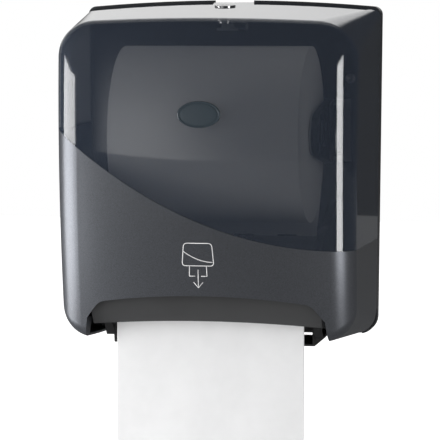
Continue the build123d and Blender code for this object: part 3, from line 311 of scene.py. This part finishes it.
for side, end_name in ((-1, "guard_end_left"), (1, "guard_end_right")):
    turned = grid_mesh(end_name, turned_end(side))
    wall = turned.modifiers.new("wall", "SOLIDIFY")
    wall.thickness = end_wall
    wall.offset = -1.0
    turned.data.materials.append(guard_plastic)
    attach(turned, "base")

# Feed drum.
# Two grey shells with a knife slot between them, rubber bands let into the larger one, and a
# lobed wheel outside the right frame for turning the drum by hand.
drum_plastic = moulded_plastic("drum plastic", (0.30, 0.31, 0.32), 0.4, 0.00006)
finish_node(drum_plastic, "drum_plastic", "drum_body", "drum_cap")
band_rubber = moulded_plastic("band rubber", (0.020, 0.020, 0.021), 0.75, 0.0002)
finish_node(band_rubber, "band_rubber", "drum_bands", "press_roller")
wheel_plastic = moulded_plastic("hand wheel plastic", (0.02, 0.19, 0.31), 0.38, 0.00006)
finish_node(wheel_plastic, "wheel_plastic", "hand_wheel")
crank_plastic = moulded_plastic("crank plastic", (0.66, 0.66, 0.63), 0.42, 0.00005)
finish_node(crank_plastic, "white_plastic", "crank_disc")

# Knife and spring.
# A serrated strip of hardened steel in a bar of the wheel's blue plastic, and the coil of spring
# wire that throws the drum over centre.
finish_node(wheel_plastic, "wheel_plastic", "knife_bar")
blade_steel = steel_finish("blade steel", (0.70, 0.70, 0.71), 0.18)
finish_node(blade_steel, "blade_steel", "knife_blade")
spring_steel = steel_finish("spring wire steel", (0.42, 0.42, 0.43), 0.3)
finish_node(spring_steel, "spring_steel", "overcentre_spring")

# Roll holders.
# A fixed arm on the left and a hinged one on the right, moulded in dark plastic. The tapered light
# hubs at their ends sit in the roll's core.
arm_plastic = moulded_plastic("roll arm plastic", (0.035, 0.036, 0.040), 0.45, 0.00008)
finish_node(arm_plastic, "dark_plastic", "roll_arm_left", "roll_arm_right")
hub_plastic = moulded_plastic("hub plastic", (0.60, 0.61, 0.60), 0.4, 0.00005)
finish_node(hub_plastic, "white_plastic", "roll_hub_left", "roll_hub_right")

# Towel roll and its core.
# Soft white tissue wound on a grey board tube: fine fibres all over, and the turns of the winding
# show as rings on both ends.
fibre, fibre_in, fibre_out = new_group(
    "tissue fibre",
    [("Colour", "NodeSocketColor", (0.85, 0.85, 0.85, 1.0))],
    [("Colour", "NodeSocketColor"), ("Height", "NodeSocketFloat")],
)
place = fibre.nodes.new("ShaderNodeTexCoord")
strands = fibre.nodes.new("ShaderNodeTexNoise")
strands.inputs["Scale"].default_value = 900.0
strands.inputs["Detail"].default_value = 6.0
cloud = fibre.nodes.new("ShaderNodeTexNoise")
cloud.inputs["Scale"].default_value = 60.0
cloud.inputs["Detail"].default_value = 3.0
shade = fibre.nodes.new("ShaderNodeMapRange")
shade.inputs["To Min"].default_value = 0.95
shade.inputs["To Max"].default_value = 1.03
tint = fibre.nodes.new("ShaderNodeVectorMath")
tint.operation = "SCALE"
fibre.links.new(place.outputs["Object"], strands.inputs["Vector"])
fibre.links.new(place.outputs["Object"], cloud.inputs["Vector"])
fibre.links.new(cloud.outputs["Fac"], shade.inputs["Value"])
fibre.links.new(fibre_in.outputs["Colour"], tint.inputs[0])
fibre.links.new(shade.outputs["Result"], tint.inputs["Scale"])
fibre.links.new(tint.outputs["Vector"], fibre_out.inputs["Colour"])
fibre.links.new(strands.outputs["Fac"], fibre_out.inputs["Height"])

roll_low, roll_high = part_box("paper_roll")
roll_middle = (roll_low + roll_high) / 2
turn_spacing = 0.0008
ring_depth = 0.6

roll_paper, tree, shader = new_material("wound tissue")
surface = tree.nodes.new("ShaderNodeGroup")
surface.node_tree = fibre
surface.inputs["Colour"].default_value = (0.84, 0.845, 0.85, 1.0)
place = tree.nodes.new("ShaderNodeTexCoord")
centre = tree.nodes.new("ShaderNodeMapping")
centre.inputs["Location"].default_value = (0.0, -roll_middle.y, -roll_middle.z)
apart = tree.nodes.new("ShaderNodeSeparateXYZ")
flat = tree.nodes.new("ShaderNodeCombineXYZ")
radius = tree.nodes.new("ShaderNodeVectorMath")
radius.operation = "LENGTH"
turns = tree.nodes.new("ShaderNodeMath")
turns.operation = "MULTIPLY"
turns.inputs[1].default_value = 2 * pi / turn_spacing
rings = tree.nodes.new("ShaderNodeMath")
rings.operation = "SINE"
rough_rings = tree.nodes.new("ShaderNodeMath")
rough_rings.operation = "MULTIPLY_ADD"
rough_rings.inputs[1].default_value = ring_depth
bump = tree.nodes.new("ShaderNodeBump")
bump.inputs["Strength"].default_value = 0.5
bump.inputs["Distance"].default_value = 0.0002
tree.links.new(place.outputs["Object"], centre.inputs["Vector"])
tree.links.new(centre.outputs["Vector"], apart.inputs["Vector"])
tree.links.new(apart.outputs["Y"], flat.inputs["Y"])
tree.links.new(apart.outputs["Z"], flat.inputs["Z"])
tree.links.new(flat.outputs["Vector"], radius.inputs[0])
tree.links.new(radius.outputs["Value"], turns.inputs[0])
tree.links.new(turns.outputs["Value"], rings.inputs[0])
tree.links.new(rings.outputs["Value"], rough_rings.inputs[0])
tree.links.new(surface.outputs["Height"], rough_rings.inputs[2])
tree.links.new(rough_rings.outputs["Value"], bump.inputs["Height"])
tree.links.new(surface.outputs["Colour"], shader.inputs["Base Color"])
tree.links.new(bump.outputs["Normal"], shader.inputs["Normal"])
shader.inputs["Roughness"].default_value = 0.85
shader.inputs["Sheen Weight"].default_value = 0.2
finish_node(roll_paper, "towel", "paper_roll")
core_board = moulded_plastic("core board", (0.42, 0.36, 0.29), 0.85, 0.0002, mottle=0.2)
finish_node(core_board, "core_board", "roll_core")

# Paper towel from the roll to its free end.
# One length of embossed tissue: off the back of the roll, round the pressure roller, over the
# drum and down through the throat, cut to a zigzag by the knife's teeth.
towel_half_width = 0.102
towel_thickness = 0.0004
tooth_pitch = 0.004
tooth_depth = 0.0022


def arc_points(centre, radius, start, end, count):
    """Points (y, z) round a centre, angles in degrees from +Y and positive upwards."""
    angles = np.radians(np.linspace(start, end, count))
    return np.stack([centre[0] + radius * np.cos(angles), centre[1] + radius * np.sin(angles)], 1)


roll_centre = (-0.109, 0.042)
roll_radius = 0.095
press_centre = (-0.088264, -0.076960)
press_radius = 0.009
drum_centre = (-0.117, -0.118)
drum_radius = 0.040
layer = 0.00055
roll_contact = 25
drum_contact_start = 55
throat_z = -0.142
tail_end_z = -0.2913
reach = np.hypot(press_centre[0] - roll_centre[0], press_centre[1] - roll_centre[1])
leave = np.degrees(
    np.arctan2(press_centre[1] - roll_centre[1], press_centre[0] - roll_centre[0])
    + np.arccos((roll_radius - press_radius) / reach)
)
nip = np.degrees(np.arctan2(drum_centre[1] - press_centre[1], drum_centre[0] - press_centre[0]))
drop = np.concatenate([
    np.linspace(drum_centre[1], throat_z, 5)[1:],
    np.linspace(throat_z, tail_end_z, 60)[1:],
])
path = np.vstack([
    arc_points(roll_centre, roll_radius + layer, leave + roll_contact, leave, 24),
    arc_points(press_centre, press_radius + layer, leave, nip, 24),
    arc_points(drum_centre, drum_radius + layer, drum_contact_start, 180, 60),
    np.stack([np.full(len(drop), drum_centre[0] - (drum_radius + layer)), drop], 1),
])
columns_per_tooth = 4
teeth = round(2 * towel_half_width / tooth_pitch)
across = np.linspace(-1, 1, columns_per_tooth * teeth + 1)
sheet_fall = 0.1495
forward_bow = 0.002
middle_bow = 0.0026
ripple = 0.0005


def towel_surface(path, across):
    """A strip of paper: the path gives y and z, across gives x from -1 to 1. Below the throat the
    strip bows forwards as the square of its fall, its middle stands proud of its edges, a slight
    sine ripple crosses it, and its last edge is a triangle wave."""
    x = np.tile(across * towel_half_width, (len(path), 1))
    y = np.tile(path[:, :1], (1, len(across)))
    z = np.tile(path[:, 1:], (1, len(across)))
    fall = np.clip((throat_z - z) / sheet_fall, 0, 1)
    y -= forward_bow * fall**2 + middle_bow * fall * (1 - across[None, :] ** 2)
    y -= ripple * fall * np.sin(2.3 * pi * across[None, :] + 4.0 * fall)
    wave = np.abs((x / tooth_pitch) % 1.0 - 0.5) * 2
    z[-1] += tooth_depth * wave[-1]
    z[-2] += 0.4 * tooth_depth * wave[-2]
    return np.stack([x, y, z], -1)


towel_points = towel_surface(path, across)
towel = grid_mesh("paper_towel", towel_points)
spacing = np.linalg.norm(np.diff(path, axis=0), axis=1)
along = np.concatenate([[0.0], np.cumsum(spacing)])
uv = towel.data.uv_layers.new(name="UVMap")
corner = np.zeros(len(towel.data.loops), np.int32)
towel.data.loops.foreach_get("vertex_index", corner)
flat_place = np.stack([np.tile(across * towel_half_width, (len(path), 1)),
                       np.tile(along[:, None], (1, len(across)))], -1).reshape(-1, 2)
uv.data.foreach_set("uv", flat_place[corner].ravel().astype(np.float32))
thicken = towel.modifiers.new("paper thickness", "SOLIDIFY")
thicken.thickness = towel_thickness
thicken.offset = 0.0

embossed, tree, shader = new_material("embossed tissue")
surface = tree.nodes.new("ShaderNodeGroup")
surface.node_tree = fibre
surface.inputs["Colour"].default_value = (0.86, 0.86, 0.865, 1.0)
place = tree.nodes.new("ShaderNodeUVMap")
dots = tree.nodes.new("ShaderNodeTexVoronoi")
dots.inputs["Scale"].default_value = 420.0
dots.inputs["Randomness"].default_value = 0.15
raised = tree.nodes.new("ShaderNodeMapRange")
raised.inputs["From Max"].default_value = 0.45
raised.inputs["To Min"].default_value = 1.0
raised.inputs["To Max"].default_value = 0.0
together = tree.nodes.new("ShaderNodeMath")
together.operation = "MULTIPLY_ADD"
together.inputs[1].default_value = 0.5
bump = tree.nodes.new("ShaderNodeBump")
bump.inputs["Strength"].default_value = 0.35
bump.inputs["Distance"].default_value = 0.00015
tree.links.new(place.outputs["UV"], dots.inputs["Vector"])
tree.links.new(dots.outputs["Distance"], raised.inputs["Value"])
tree.links.new(raised.outputs["Result"], together.inputs[0])
tree.links.new(surface.outputs["Height"], together.inputs[2])
tree.links.new(together.outputs["Value"], bump.inputs["Height"])
tree.links.new(surface.outputs["Colour"], shader.inputs["Base Color"])
tree.links.new(bump.outputs["Normal"], shader.inputs["Normal"])
shader.inputs["Roughness"].default_value = 0.85
shader.inputs["Sheen Weight"].default_value = 0.2
towel.data.materials.append(embossed)
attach(towel, "base")
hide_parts("paper_web", "paper_tail")

# Front cover.
# One moulding in smoked plastic, clear enough at the top to show the roll. Its lower part is
# coated from a sweeping line downwards in a dark metallic grey with fine flakes.
smoke_colour = (0.036, 0.046, 0.066)
coat_colour = (0.106, 0.112, 0.126)
coat_line_left = 0.062
coat_line_low = -0.0765
coat_line_bottom = 0.150
coat_line_reach = 0.325
coat_edge = 0.0003

cover_finish, tree, shader = new_material("smoked cover")
place = tree.nodes.new("ShaderNodeTexCoord")
apart = tree.nodes.new("ShaderNodeSeparateXYZ")
tree.links.new(place.outputs["Object"], apart.inputs["Vector"])
sweep = tree.nodes.new("ShaderNodeMapRange")
sweep.clamp = False
sweep.inputs["From Min"].default_value = coat_line_bottom
sweep.inputs["From Max"].default_value = coat_line_bottom - coat_line_reach
square = tree.nodes.new("ShaderNodeMath")
square.operation = "MULTIPLY"
line_height = tree.nodes.new("ShaderNodeMapRange")
line_height.clamp = False
line_height.inputs["To Min"].default_value = coat_line_low
line_height.inputs["To Max"].default_value = coat_line_left
above = tree.nodes.new("ShaderNodeMath")
above.operation = "SUBTRACT"
coated = tree.nodes.new("ShaderNodeMapRange")
coated.inputs["From Min"].default_value = coat_edge
coated.inputs["From Max"].default_value = -coat_edge
tree.links.new(apart.outputs["X"], sweep.inputs["Value"])
tree.links.new(sweep.outputs["Result"], square.inputs[0])
tree.links.new(sweep.outputs["Result"], square.inputs[1])
tree.links.new(square.outputs["Value"], line_height.inputs["Value"])
tree.links.new(apart.outputs["Z"], above.inputs[0])
tree.links.new(line_height.outputs["Result"], above.inputs[1])
tree.links.new(above.outputs["Value"], coated.inputs["Value"])

flakes = tree.nodes.new("ShaderNodeTexVoronoi")
flakes.inputs["Scale"].default_value = 2600.0
sparkle = tree.nodes.new("ShaderNodeMapRange")
sparkle.inputs["To Min"].default_value = 0.75
sparkle.inputs["To Max"].default_value = 1.25
flake_grey = tree.nodes.new("ShaderNodeSeparateColor")
flake_tint = tree.nodes.new("ShaderNodeVectorMath")
flake_tint.operation = "SCALE"
flake_tint.inputs[0].default_value = coat_colour
mix = tree.nodes.new("ShaderNodeMix")
mix.data_type = "RGBA"
mix.inputs["A"].default_value = (*smoke_colour, 1.0)
tree.links.new(place.outputs["Object"], flakes.inputs["Vector"])
tree.links.new(flakes.outputs["Color"], flake_grey.inputs["Color"])
tree.links.new(flake_grey.outputs["Red"], sparkle.inputs["Value"])
tree.links.new(sparkle.outputs["Result"], flake_tint.inputs["Scale"])
tree.links.new(flake_tint.outputs["Vector"], mix.inputs["B"])
tree.links.new(coated.outputs["Result"], mix.inputs["Factor"])
tree.links.new(mix.outputs["Result"], shader.inputs["Base Color"])


def by_coating(target, smoked, coated_value):
    """Gives a socket one value on the smoked part and another on the coated part."""
    node = tree.nodes.new("ShaderNodeMapRange")
    node.inputs["To Min"].default_value = smoked
    node.inputs["To Max"].default_value = coated_value
    tree.links.new(coated.outputs["Result"], node.inputs["Value"])
    tree.links.new(node.outputs["Result"], target)


by_coating(shader.inputs["Roughness"], smoked=0.04, coated_value=0.33)
by_coating(shader.inputs["Metallic"], smoked=0.0, coated_value=0.6)
by_coating(shader.inputs["Coat Weight"], smoked=1.0, coated_value=0.0)
shader.inputs["Coat Roughness"].default_value = 0.03
shader.inputs["IOR"].default_value = 1.6

clear_alpha = 0.46
edge_on = tree.nodes.new("ShaderNodeLayerWeight")
edge_on.inputs["Blend"].default_value = 0.5
slant = tree.nodes.new("ShaderNodeMath")
slant.operation = "POWER"
slant.inputs[1].default_value = 2.0
thicker = tree.nodes.new("ShaderNodeMapRange")
thicker.inputs["To Min"].default_value = clear_alpha
thicker.inputs["To Max"].default_value = 1.0
solid = tree.nodes.new("ShaderNodeMath")
solid.operation = "MAXIMUM"
tree.links.new(edge_on.outputs["Facing"], slant.inputs[0])
tree.links.new(slant.outputs["Value"], thicker.inputs["Value"])
tree.links.new(thicker.outputs["Result"], solid.inputs[0])
tree.links.new(coated.outputs["Result"], solid.inputs[1])
tree.links.new(solid.outputs["Value"], shader.inputs["Alpha"])
finish_node(cover_finish, "cover_plastic", "front_cover")

# Oval pad.
# A bare domed plate of dark glossy plastic, stuck to the cover's face above its middle. A fine
# groove runs round inside its raised edge.
def cover_front(x, z):
    """Depth y of the cover's face: a circle of 480 mm radius in plan, turned about a level axis
    so that its crest runs on a circle of 1150 mm radius in side view."""
    bulge, side_view, crest, axis = 0.480, 1.150, 0.040, 0.929
    plan = side_view - bulge + np.sqrt(bulge**2 - x**2)
    return axis - np.sqrt(plan**2 - (z - crest) ** 2)


pad_half_width = 0.023
pad_half_height = 0.014
pad_middle = 0.067
# each point is a share of the half size and a height above the cover in millimetres
pad_profile = np.array([
    (0.00, 1.10), (0.30, 1.09), (0.60, 1.04), (0.78, 0.98), (0.845, 0.94), (0.862, 0.72),
    (0.885, 0.66), (0.905, 0.74), (0.920, 1.02), (0.945, 1.16), (0.970, 1.12), (0.990, 0.85),
    (1.000, 0.45), (1.000, -0.10), (0.50, -0.10), (0.00, -0.10),
])
around = np.linspace(0, 2 * pi, 97)
pad_x = pad_half_width * pad_profile[:, :1] * np.cos(around)
pad_z = pad_middle + pad_half_height * pad_profile[:, :1] * np.sin(around)
pad_y = cover_front(pad_x, pad_z) - millimetre * pad_profile[:, 1:]
pad = closed_mesh("oval_plate", np.stack([pad_x, pad_y, pad_z], -1))
pad_plastic = moulded_plastic("oval pad plastic", (0.036, 0.050, 0.062), 0.2, 0.00001)
pad.data.materials.append(pad_plastic)
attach(pad, "cover")
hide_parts("oval_pad")

# Pull sign.
# White lines printed on the coated part: a dispenser with its sheet, and an arrow down that
# shows the way to pull. The lines' points are in millimetres from the sign's own place.
sign_x = -0.0023
sign_z = -0.092
line_half = 0.00042
print_height = 0.00012


def rounded_corners(points, radius, steps=6):
    """Polyline with each inner corner replaced by a curve: points of the parabola whose control
    points lie at the radius before the corner, on it and at the radius after it."""
    points = np.array(points, float)
    before, corner, after = points[:-2], points[1:-1], points[2:]
    enter = corner + radius * (before - corner) / np.linalg.norm(before - corner, axis=1)[:, None]
    leave = corner + radius * (after - corner) / np.linalg.norm(after - corner, axis=1)[:, None]
    t = np.linspace(0, 1, steps)[None, :, None]
    weights = (1 - t) ** 2, 2 * t * (1 - t), t**2
    curve = sum(weight * ends[:, None] for weight, ends in zip(weights, (enter, corner, leave)))
    return np.vstack([points[:1], curve.reshape(-1, 2), points[-1:]])


def printed_line(name, points):
    """Flat bar carried along a line on the cover's face: four corners round each point, spread
    across the line's direction, and both ends drawn together to close it."""
    points = np.array(points) * millimetre + (sign_x, sign_z)
    run = np.gradient(points, axis=0)
    run /= np.linalg.norm(run, axis=1)[:, None]
    sideways = np.stack([-run[:, 1], run[:, 0]], 1)
    across = np.array([-1, 1, 1, -1, -1]) * line_half
    proud = np.array([1, 1, 0, 0, 1]) * print_height
    flat = points[:, None] + across[None, :, None] * sideways[:, None]
    y = cover_front(flat[..., 0], flat[..., 1]) - proud
    grid = np.stack([flat[..., 0], y, flat[..., 1]], -1)
    first, last = (np.tile(row[:4].mean(0), (1, 5, 1)) for row in (grid[0], grid[-1]))
    bar = closed_mesh(name, np.concatenate([first, grid, last]))
    bar.data.materials.append(sign_paint)
    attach(bar, "cover")


sign_paint = moulded_plastic("sign paint", (0.80, 0.80, 0.80), 0.5, 0.00001, mottle=0.05)
casing_outline = [(0, 24), (-15, 24), (-17, 0), (17, 0), (15, 24), (0, 24)]
sweep_x = np.linspace(-15.2, 15.6, 24)
sweep_rise = np.linspace(1, 0, 24) ** 2
sign_lines = {
    "sign_casing": rounded_corners(casing_outline, 4.0),
    "sign_sweep": np.stack([sweep_x, 4.0 + 11.0 * sweep_rise], 1),
    "sign_sheet_left": [(-9, 0), (-9.5, -11)],
    "sign_sheet_right": [(9, 0), (9.5, -11)],
    "sign_sheet_end": [(-9.5, -11), (-3.2, -11)],
    "sign_sheet_end_right": [(3.2, -11), (9.5, -11)],
    "sign_arrow": [(0, -4), (0, -23)],
    "sign_arrow_head": [(-5, -17.5), (0, -23.5), (5, -17.5)],
}
for line_name, line_points in sign_lines.items():
    printed_line(line_name, line_points)

# Lock.
# A round plated barrel with a key slot, let into the cover's top, and the steel cam on its inner
# end that holds the cover shut.
lock_plating = steel_finish("lock plating", (0.60, 0.60, 0.61), 0.16)
finish_node(lock_plating, "steel", "lock_barrel", "lock_cam")

# Studio.
# A pale floor well below the dispenser and a white world, both white to the camera, soft light
# from all round, and two soft lights at the sides that draw the highlights on the corners. What
# glossy surfaces mirror is darker than the background, as in the photo's studio.
floor_size = 14.0
floor_height = -0.62
floor_glow = 0.62
bpy.ops.mesh.primitive_plane_add(size=floor_size, location=(0.0, 0.0, floor_height))
floor = bpy.context.object
floor.name = "studio_floor"
floor_finish, tree, shader = new_material("studio floor")
shader.inputs["Roughness"].default_value = 0.9
shader.inputs["Emission Color"].default_value = (1.0, 1.0, 1.0, 1.0)
path_kind = tree.nodes.new("ShaderNodeLightPath")
shown = tree.nodes.new("ShaderNodeMath")
shown.operation = "MAXIMUM"
glow = tree.nodes.new("ShaderNodeMath")
glow.operation = "MULTIPLY"
glow.inputs[1].default_value = floor_glow
tone = tree.nodes.new("ShaderNodeMix")
tone.data_type = "RGBA"
tone.inputs["A"].default_value = (0.9, 0.9, 0.9, 1.0)
tone.inputs["B"].default_value = (0.12, 0.12, 0.12, 1.0)
tree.links.new(path_kind.outputs["Is Camera Ray"], shown.inputs[0])
tree.links.new(path_kind.outputs["Is Transmission Ray"], shown.inputs[1])
tree.links.new(shown.outputs["Value"], glow.inputs[0])
tree.links.new(glow.outputs["Value"], shader.inputs["Emission Strength"])
tree.links.new(path_kind.outputs["Is Glossy Ray"], tone.inputs["Factor"])
tree.links.new(tone.outputs["Result"], shader.inputs["Base Color"])
floor.data.materials.append(floor_finish)

world = bpy.data.worlds.new("studio")
bpy.context.scene.world = world
world.use_nodes = True
tree = world.node_tree
tree.nodes.clear()
output = tree.nodes.new("ShaderNodeOutputWorld")
background = tree.nodes.new("ShaderNodeBackground")
path_kind = tree.nodes.new("ShaderNodeLightPath")
direction = tree.nodes.new("ShaderNodeTexCoord")
apart = tree.nodes.new("ShaderNodeSeparateXYZ")
tree.links.new(direction.outputs["Generated"], apart.inputs["Vector"])
background.inputs["Color"].default_value = (1.0, 1.0, 1.0, 1.0)
tree.links.new(background.outputs["Background"], output.inputs["Surface"])


def ramp(source, low, high):
    """0 below low, 1 above high and a smooth step between."""
    node = tree.nodes.new("ShaderNodeMapRange")
    node.interpolation_type = "SMOOTHSTEP"
    node.inputs["From Min"].default_value = low
    node.inputs["From Max"].default_value = high
    tree.links.new(source, node.inputs["Value"])
    return node.outputs["Result"]


def combine(operation, first, second):
    """One Math node on two sockets or numbers."""
    node = tree.nodes.new("ShaderNodeMath")
    node.operation = operation
    for socket, value in zip(node.inputs, (first, second)):
        if isinstance(value, (int, float)):
            socket.default_value = value
        else:
            tree.links.new(value, socket)
    return node.outputs["Value"]


def bright_area(strength, *edges):
    """A part of the surroundings that shines: each edge names an axis and the two values between
    which the light fades in along it, and the fades are multiplied."""
    for axis, low, high in edges:
        strength = combine("MULTIPLY", ramp(apart.outputs[axis], low, high), strength)
    return strength


ambient = 0.79
dark_side = 0.03
behind_above = bright_area(0.80, ("Y", 0.30, 0.90), ("Z", 0.02, 0.14), ("X", 0.14, 0.04))
front_left = bright_area(
    1.2, ("Y", 0.10, -0.30), ("X", 0.05, -0.55), ("X", -0.68, -0.57), ("Z", -0.45, -0.12),
    ("Z", 0.16, -0.04),
)
front_low_left = bright_area(
    1.7, ("Y", 0.10, -0.30), ("X", 0.15, -0.50), ("Z", -0.42, -0.22), ("Z", -0.06, -0.20),
)
mirrored = dark_side
for area in (behind_above, front_left, front_low_left):
    mirrored = combine("ADD", area, mirrored)
ray = path_kind.outputs
seen = combine("MAXIMUM", ray["Is Camera Ray"], ray["Is Transmission Ray"])
glossy = combine("MULTIPLY", ray["Is Glossy Ray"], combine("SUBTRACT", 1.0, seen))
plain = combine("SUBTRACT", combine("SUBTRACT", 1.0, seen), glossy)
strength = combine("ADD", seen, combine("MULTIPLY", glossy, mirrored))
strength = combine("ADD", strength, combine("MULTIPLY", plain, ambient))
tree.links.new(strength, background.inputs["Strength"])


lit_centre = Vector((0.0, -0.11, 0.0))


def soft_light(name, direction, distance, width, height, power):
    """Rectangular light at a distance from the lit centre along a direction, facing it."""
    lamp = bpy.data.lights.new(name, "AREA")
    lamp.shape = "RECTANGLE"
    lamp.size = width
    lamp.size_y = height
    lamp.energy = power
    lamp_object = bpy.data.objects.new(name, lamp)
    towards = Vector(direction).normalized()
    lamp_object.location = lit_centre + towards * distance
    lamp_object.rotation_mode = "QUATERNION"
    lamp_object.rotation_quaternion = (-towards).to_track_quat("-Z", "Y")
    bpy.context.scene.collection.objects.link(lamp_object)
    return lamp_object


soft_light("left_light", direction=(-0.960, -0.260, -0.123), distance=1.5, width=1.12,
           height=0.77, power=20.0)
right_light = soft_light("right_light", direction=(0.821, -0.571, -0.065), distance=1.6,
                         width=0.49, height=0.74, power=11.0)
right_light.visible_diffuse = False

# Camera.
# Fitted to the object's outline: a long lens a little to the right of the middle and above it.
camera_turn = 10.61
camera_rise = 4.50
camera_distance = 2.8888
camera_aim = Vector((0.00188, -0.110, -0.05163))
lens_length = 217.7
camera_data = bpy.data.cameras.new("camera")
camera_data.sensor_width = 36.0
camera_data.lens = lens_length
camera = bpy.data.objects.new("camera", camera_data)
turn, rise = radians(camera_turn), radians(camera_rise)
outwards = Vector((sin(turn) * cos(rise), -cos(turn) * cos(rise), sin(rise)))
camera.location = camera_aim + outwards * camera_distance
camera.rotation_mode = "QUATERNION"
camera.rotation_quaternion = (-outwards).to_track_quat("-Z", "Y")
bpy.context.scene.collection.objects.link(camera)
bpy.context.scene.camera = camera
bpy.context.scene.view_settings.view_transform = "Standard"
